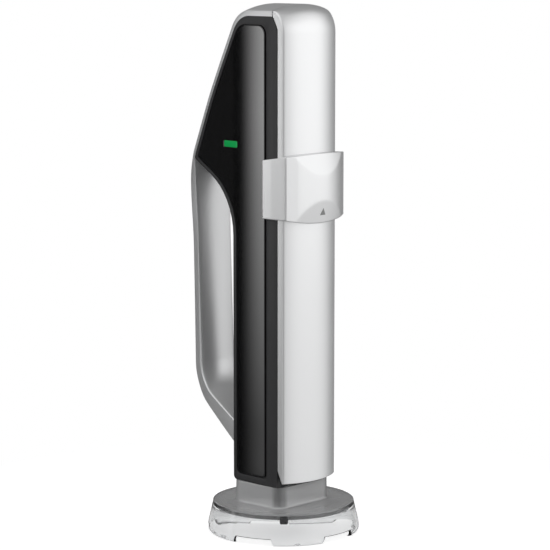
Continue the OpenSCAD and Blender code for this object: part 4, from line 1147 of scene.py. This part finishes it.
# The hinge and the press: ground pins, two pressed steel levers on one plate, two rods with
# slotted eyes, and the yoke that clamps the capsule when the cover closes.
softened("hinge_pin", "charger", ground, 0.2)
pressed = grained("pressed_steel", (0.46, 0.465, 0.47), (0.56, 0.565, 0.57), 0.36, spread=0.06,
                  raised=0.2, metal=1.0, scale=800.0, drawn=(0.3, 1.0, 1.0))
softened("lever_frame", "cover", pressed, 0.2)
softened("lever_pins", "cover", ground, 0.12)
softened("pull_rods", "press", ground, 0.15)
softened("press_yoke", "press", pressed, 0.4)


# The gas indicator: a small aluminium cylinder whose piston lifts a green flag behind the
# window against a light spring.
softened("indicator_cylinder", "charger", turned, 0.2)
flag_green = grained("flag_green", (0.006, 0.30, 0.06), (0.012, 0.38, 0.09), 0.4, raised=0.15)
softened("indicator_flag", "indicator", flag_green, 0.15)
shortened(softened("indicator_spring", "charger", wire, 0, "round"))


# The screws: zinc-plated steel with hexagon drives; four draw the housings together, two hold
# the levers' plate to the liner and two the runner to the band.
zinc = grained("screw_zinc", (0.42, 0.425, 0.43), (0.54, 0.545, 0.55), 0.34, raised=0.15,
               metal=1.0, scale=1800.0)
softened("housing_screws", "charger", zinc, 0.12)
softened("liner_screws", "cover", zinc, 0.1)
softened("clasp_screws", "clasp", zinc, 0.06)


# The floor: a seamless white table that keeps the object's soft contact shadow and fades to
# pure white away from it. Only the camera and rays through the clear parts see its glow.
def seen(thread):
    """1 for rays of the camera and rays through clear parts, 0 for all others."""
    return (thread.node("LightPath", out="Is Camera Ray")
            + thread.node("LightPath", out="Is Transmission Ray"))


def show(thread):
    """Makes a thread the surface of its material."""
    thread.tree.links.new(thread.end, thread.tree.nodes["Material Output"].inputs["Surface"])


floor_half = 6000
floor_corners = [(-floor_half, -floor_half, 0), (floor_half, -floor_half, 0),
                 (floor_half, floor_half, 0), (-floor_half, floor_half, 0)]
floor = put("floor", new_mesh("floor", floor_corners, [(0, 1, 2, 3)], merge=False, turn_out=False))
floor_white, shader, place = start("floor_white")
floor.data.materials.append(floor_white)
give(shader, Base_Color=(0.8, 0.8, 0.8), Roughness=0.9)
plain = Thread(place.tree, shader.outputs[0])
away = place.node("VectorMath", {"operation": "LENGTH"}, {0: place}, out=1).held(0.08, 0.25)
glow = place.node("Emission", (), {"Color": (1, 1, 1, 1), "Strength": 0.7})
white = place.node("Emission", (), {"Color": (1, 1, 1, 1), "Strength": 1.0})
near = place.node("AddShader", (), {0: plain, 1: glow})
faded = place.node("MixShader", (), {0: away, 1: near, 2: white})
show(place.node("MixShader", (), {0: seen(place), 1: plain, 2: faded}))
floor.visible_glossy = False


# The light: a white surround for the camera and for what shows through the clear parts. Where
# it lights, it is bright to the right of the camera and high on the left, dim elsewhere, and
# darkest behind on the left. The picture's tones are left straight.
world = bpy.data.worlds.new("surround")
bpy.context.scene.world = world
bpy.context.scene.view_settings.view_transform = "Standard"
world.use_nodes = True
background = world.node_tree.nodes["Background"]
direction = Thread(world.node_tree).node("TexCoord", out=0)


def lobe(azimuth, height, wide, narrow):
    """A soft round patch of the surround: 1 within narrow degrees of its middle, 0 past wide."""
    a = math.radians(azimuth)
    h = math.radians(height)
    axis = (math.cos(a) * math.cos(h), math.sin(a) * math.cos(h), math.sin(h))
    facing = direction.node(
        "VectorMath", {"operation": "DOT_PRODUCT"}, {0: direction, 1: axis}, out=1)
    return facing.rising(math.cos(math.radians(wide)), math.cos(math.radians(narrow)))


at_camera = lobe(215, 5, 80, 15) * 0.08
right_front = lobe(297, 4, 67, 30) * 0.78
high_left = lobe(165, 42, 60, 25) * 0.8
dark_behind = lobe(112, -6, 42, 14) * 0.85
from_below = direction.part(2).held(-0.5, -0.1, 0.6, 0.92)
lit = (0.22 + at_camera + right_front + high_left) * from_below * (1 - dark_behind)
plainly = seen(direction)
strength = lit * (1 - plainly) + plainly
background.inputs["Color"].default_value = (1, 1, 1, 1)
world.node_tree.links.new(strength.end, background.inputs["Strength"])


# The front softbox: one soft rectangular lamp on a stand to the right of the camera, aimed at
# the object's middle. It lights the cover's rounded front and the band.
lamp_turn = math.radians(296)
lamp_reach = 0.75
lamp_wide = 1.0
lamp_high = 0.62
radiance = 0.33
softbox = bpy.data.lights.new("front_softbox", "AREA")
softbox.shape = "RECTANGLE"
softbox.size = lamp_wide
softbox.size_y = lamp_high
softbox.energy = radiance * math.pi * lamp_wide * lamp_high
lamp = put("front_softbox", softbox)
lamp.location = (lamp_reach * math.cos(lamp_turn), lamp_reach * math.sin(lamp_turn), 0.36)
toward = Vector((0, 0, 0.16)) - lamp.location
lamp.rotation_euler = toward.to_track_quat("-Z", "Y").to_euler()


# The graded card: a lit panel on the left, out of the camera's sight, that fades towards all
# its edges. The gloss panels pick up its fade along their front edges.
card_turn = math.radians(137)
card_reach = 600
card_out = Vector((math.cos(card_turn), math.sin(card_turn), 0))
card_along = Vector((-math.sin(card_turn), math.cos(card_turn), 0))
card_corners = [card_out * card_reach + card_along * s + Vector((0, 0, z))
                for s, z in ((-120, -100), (90, -100), (90, 420), (-120, 420))]
card_sheet = new_mesh(
    "graded_card", card_corners, [(0, 1, 2, 3)], merge=False, turn_out=False)
card = put("graded_card", card_sheet)
card_glow, shader, place = start("card_glow")
card.data.materials.append(card_glow)
beside = place.node(
    "VectorMath", {"operation": "DOT_PRODUCT"}, {0: place, 1: tuple(card_along)}, out=1)
up = place.part(2)
sides = beside.rising(-0.098, -0.004) * beside.rising(0.06, 0.012)
strength = sides * up.held(-0.06, 0.2, 0.2, 1.0) * up.held(0.42, 0.3) * 2.5
show(place.node("Emission", (), {"Color": (1, 1, 1, 1), "Strength": strength}))
card.visible_camera = False
card.visible_transmission = False
card.visible_shadow = False
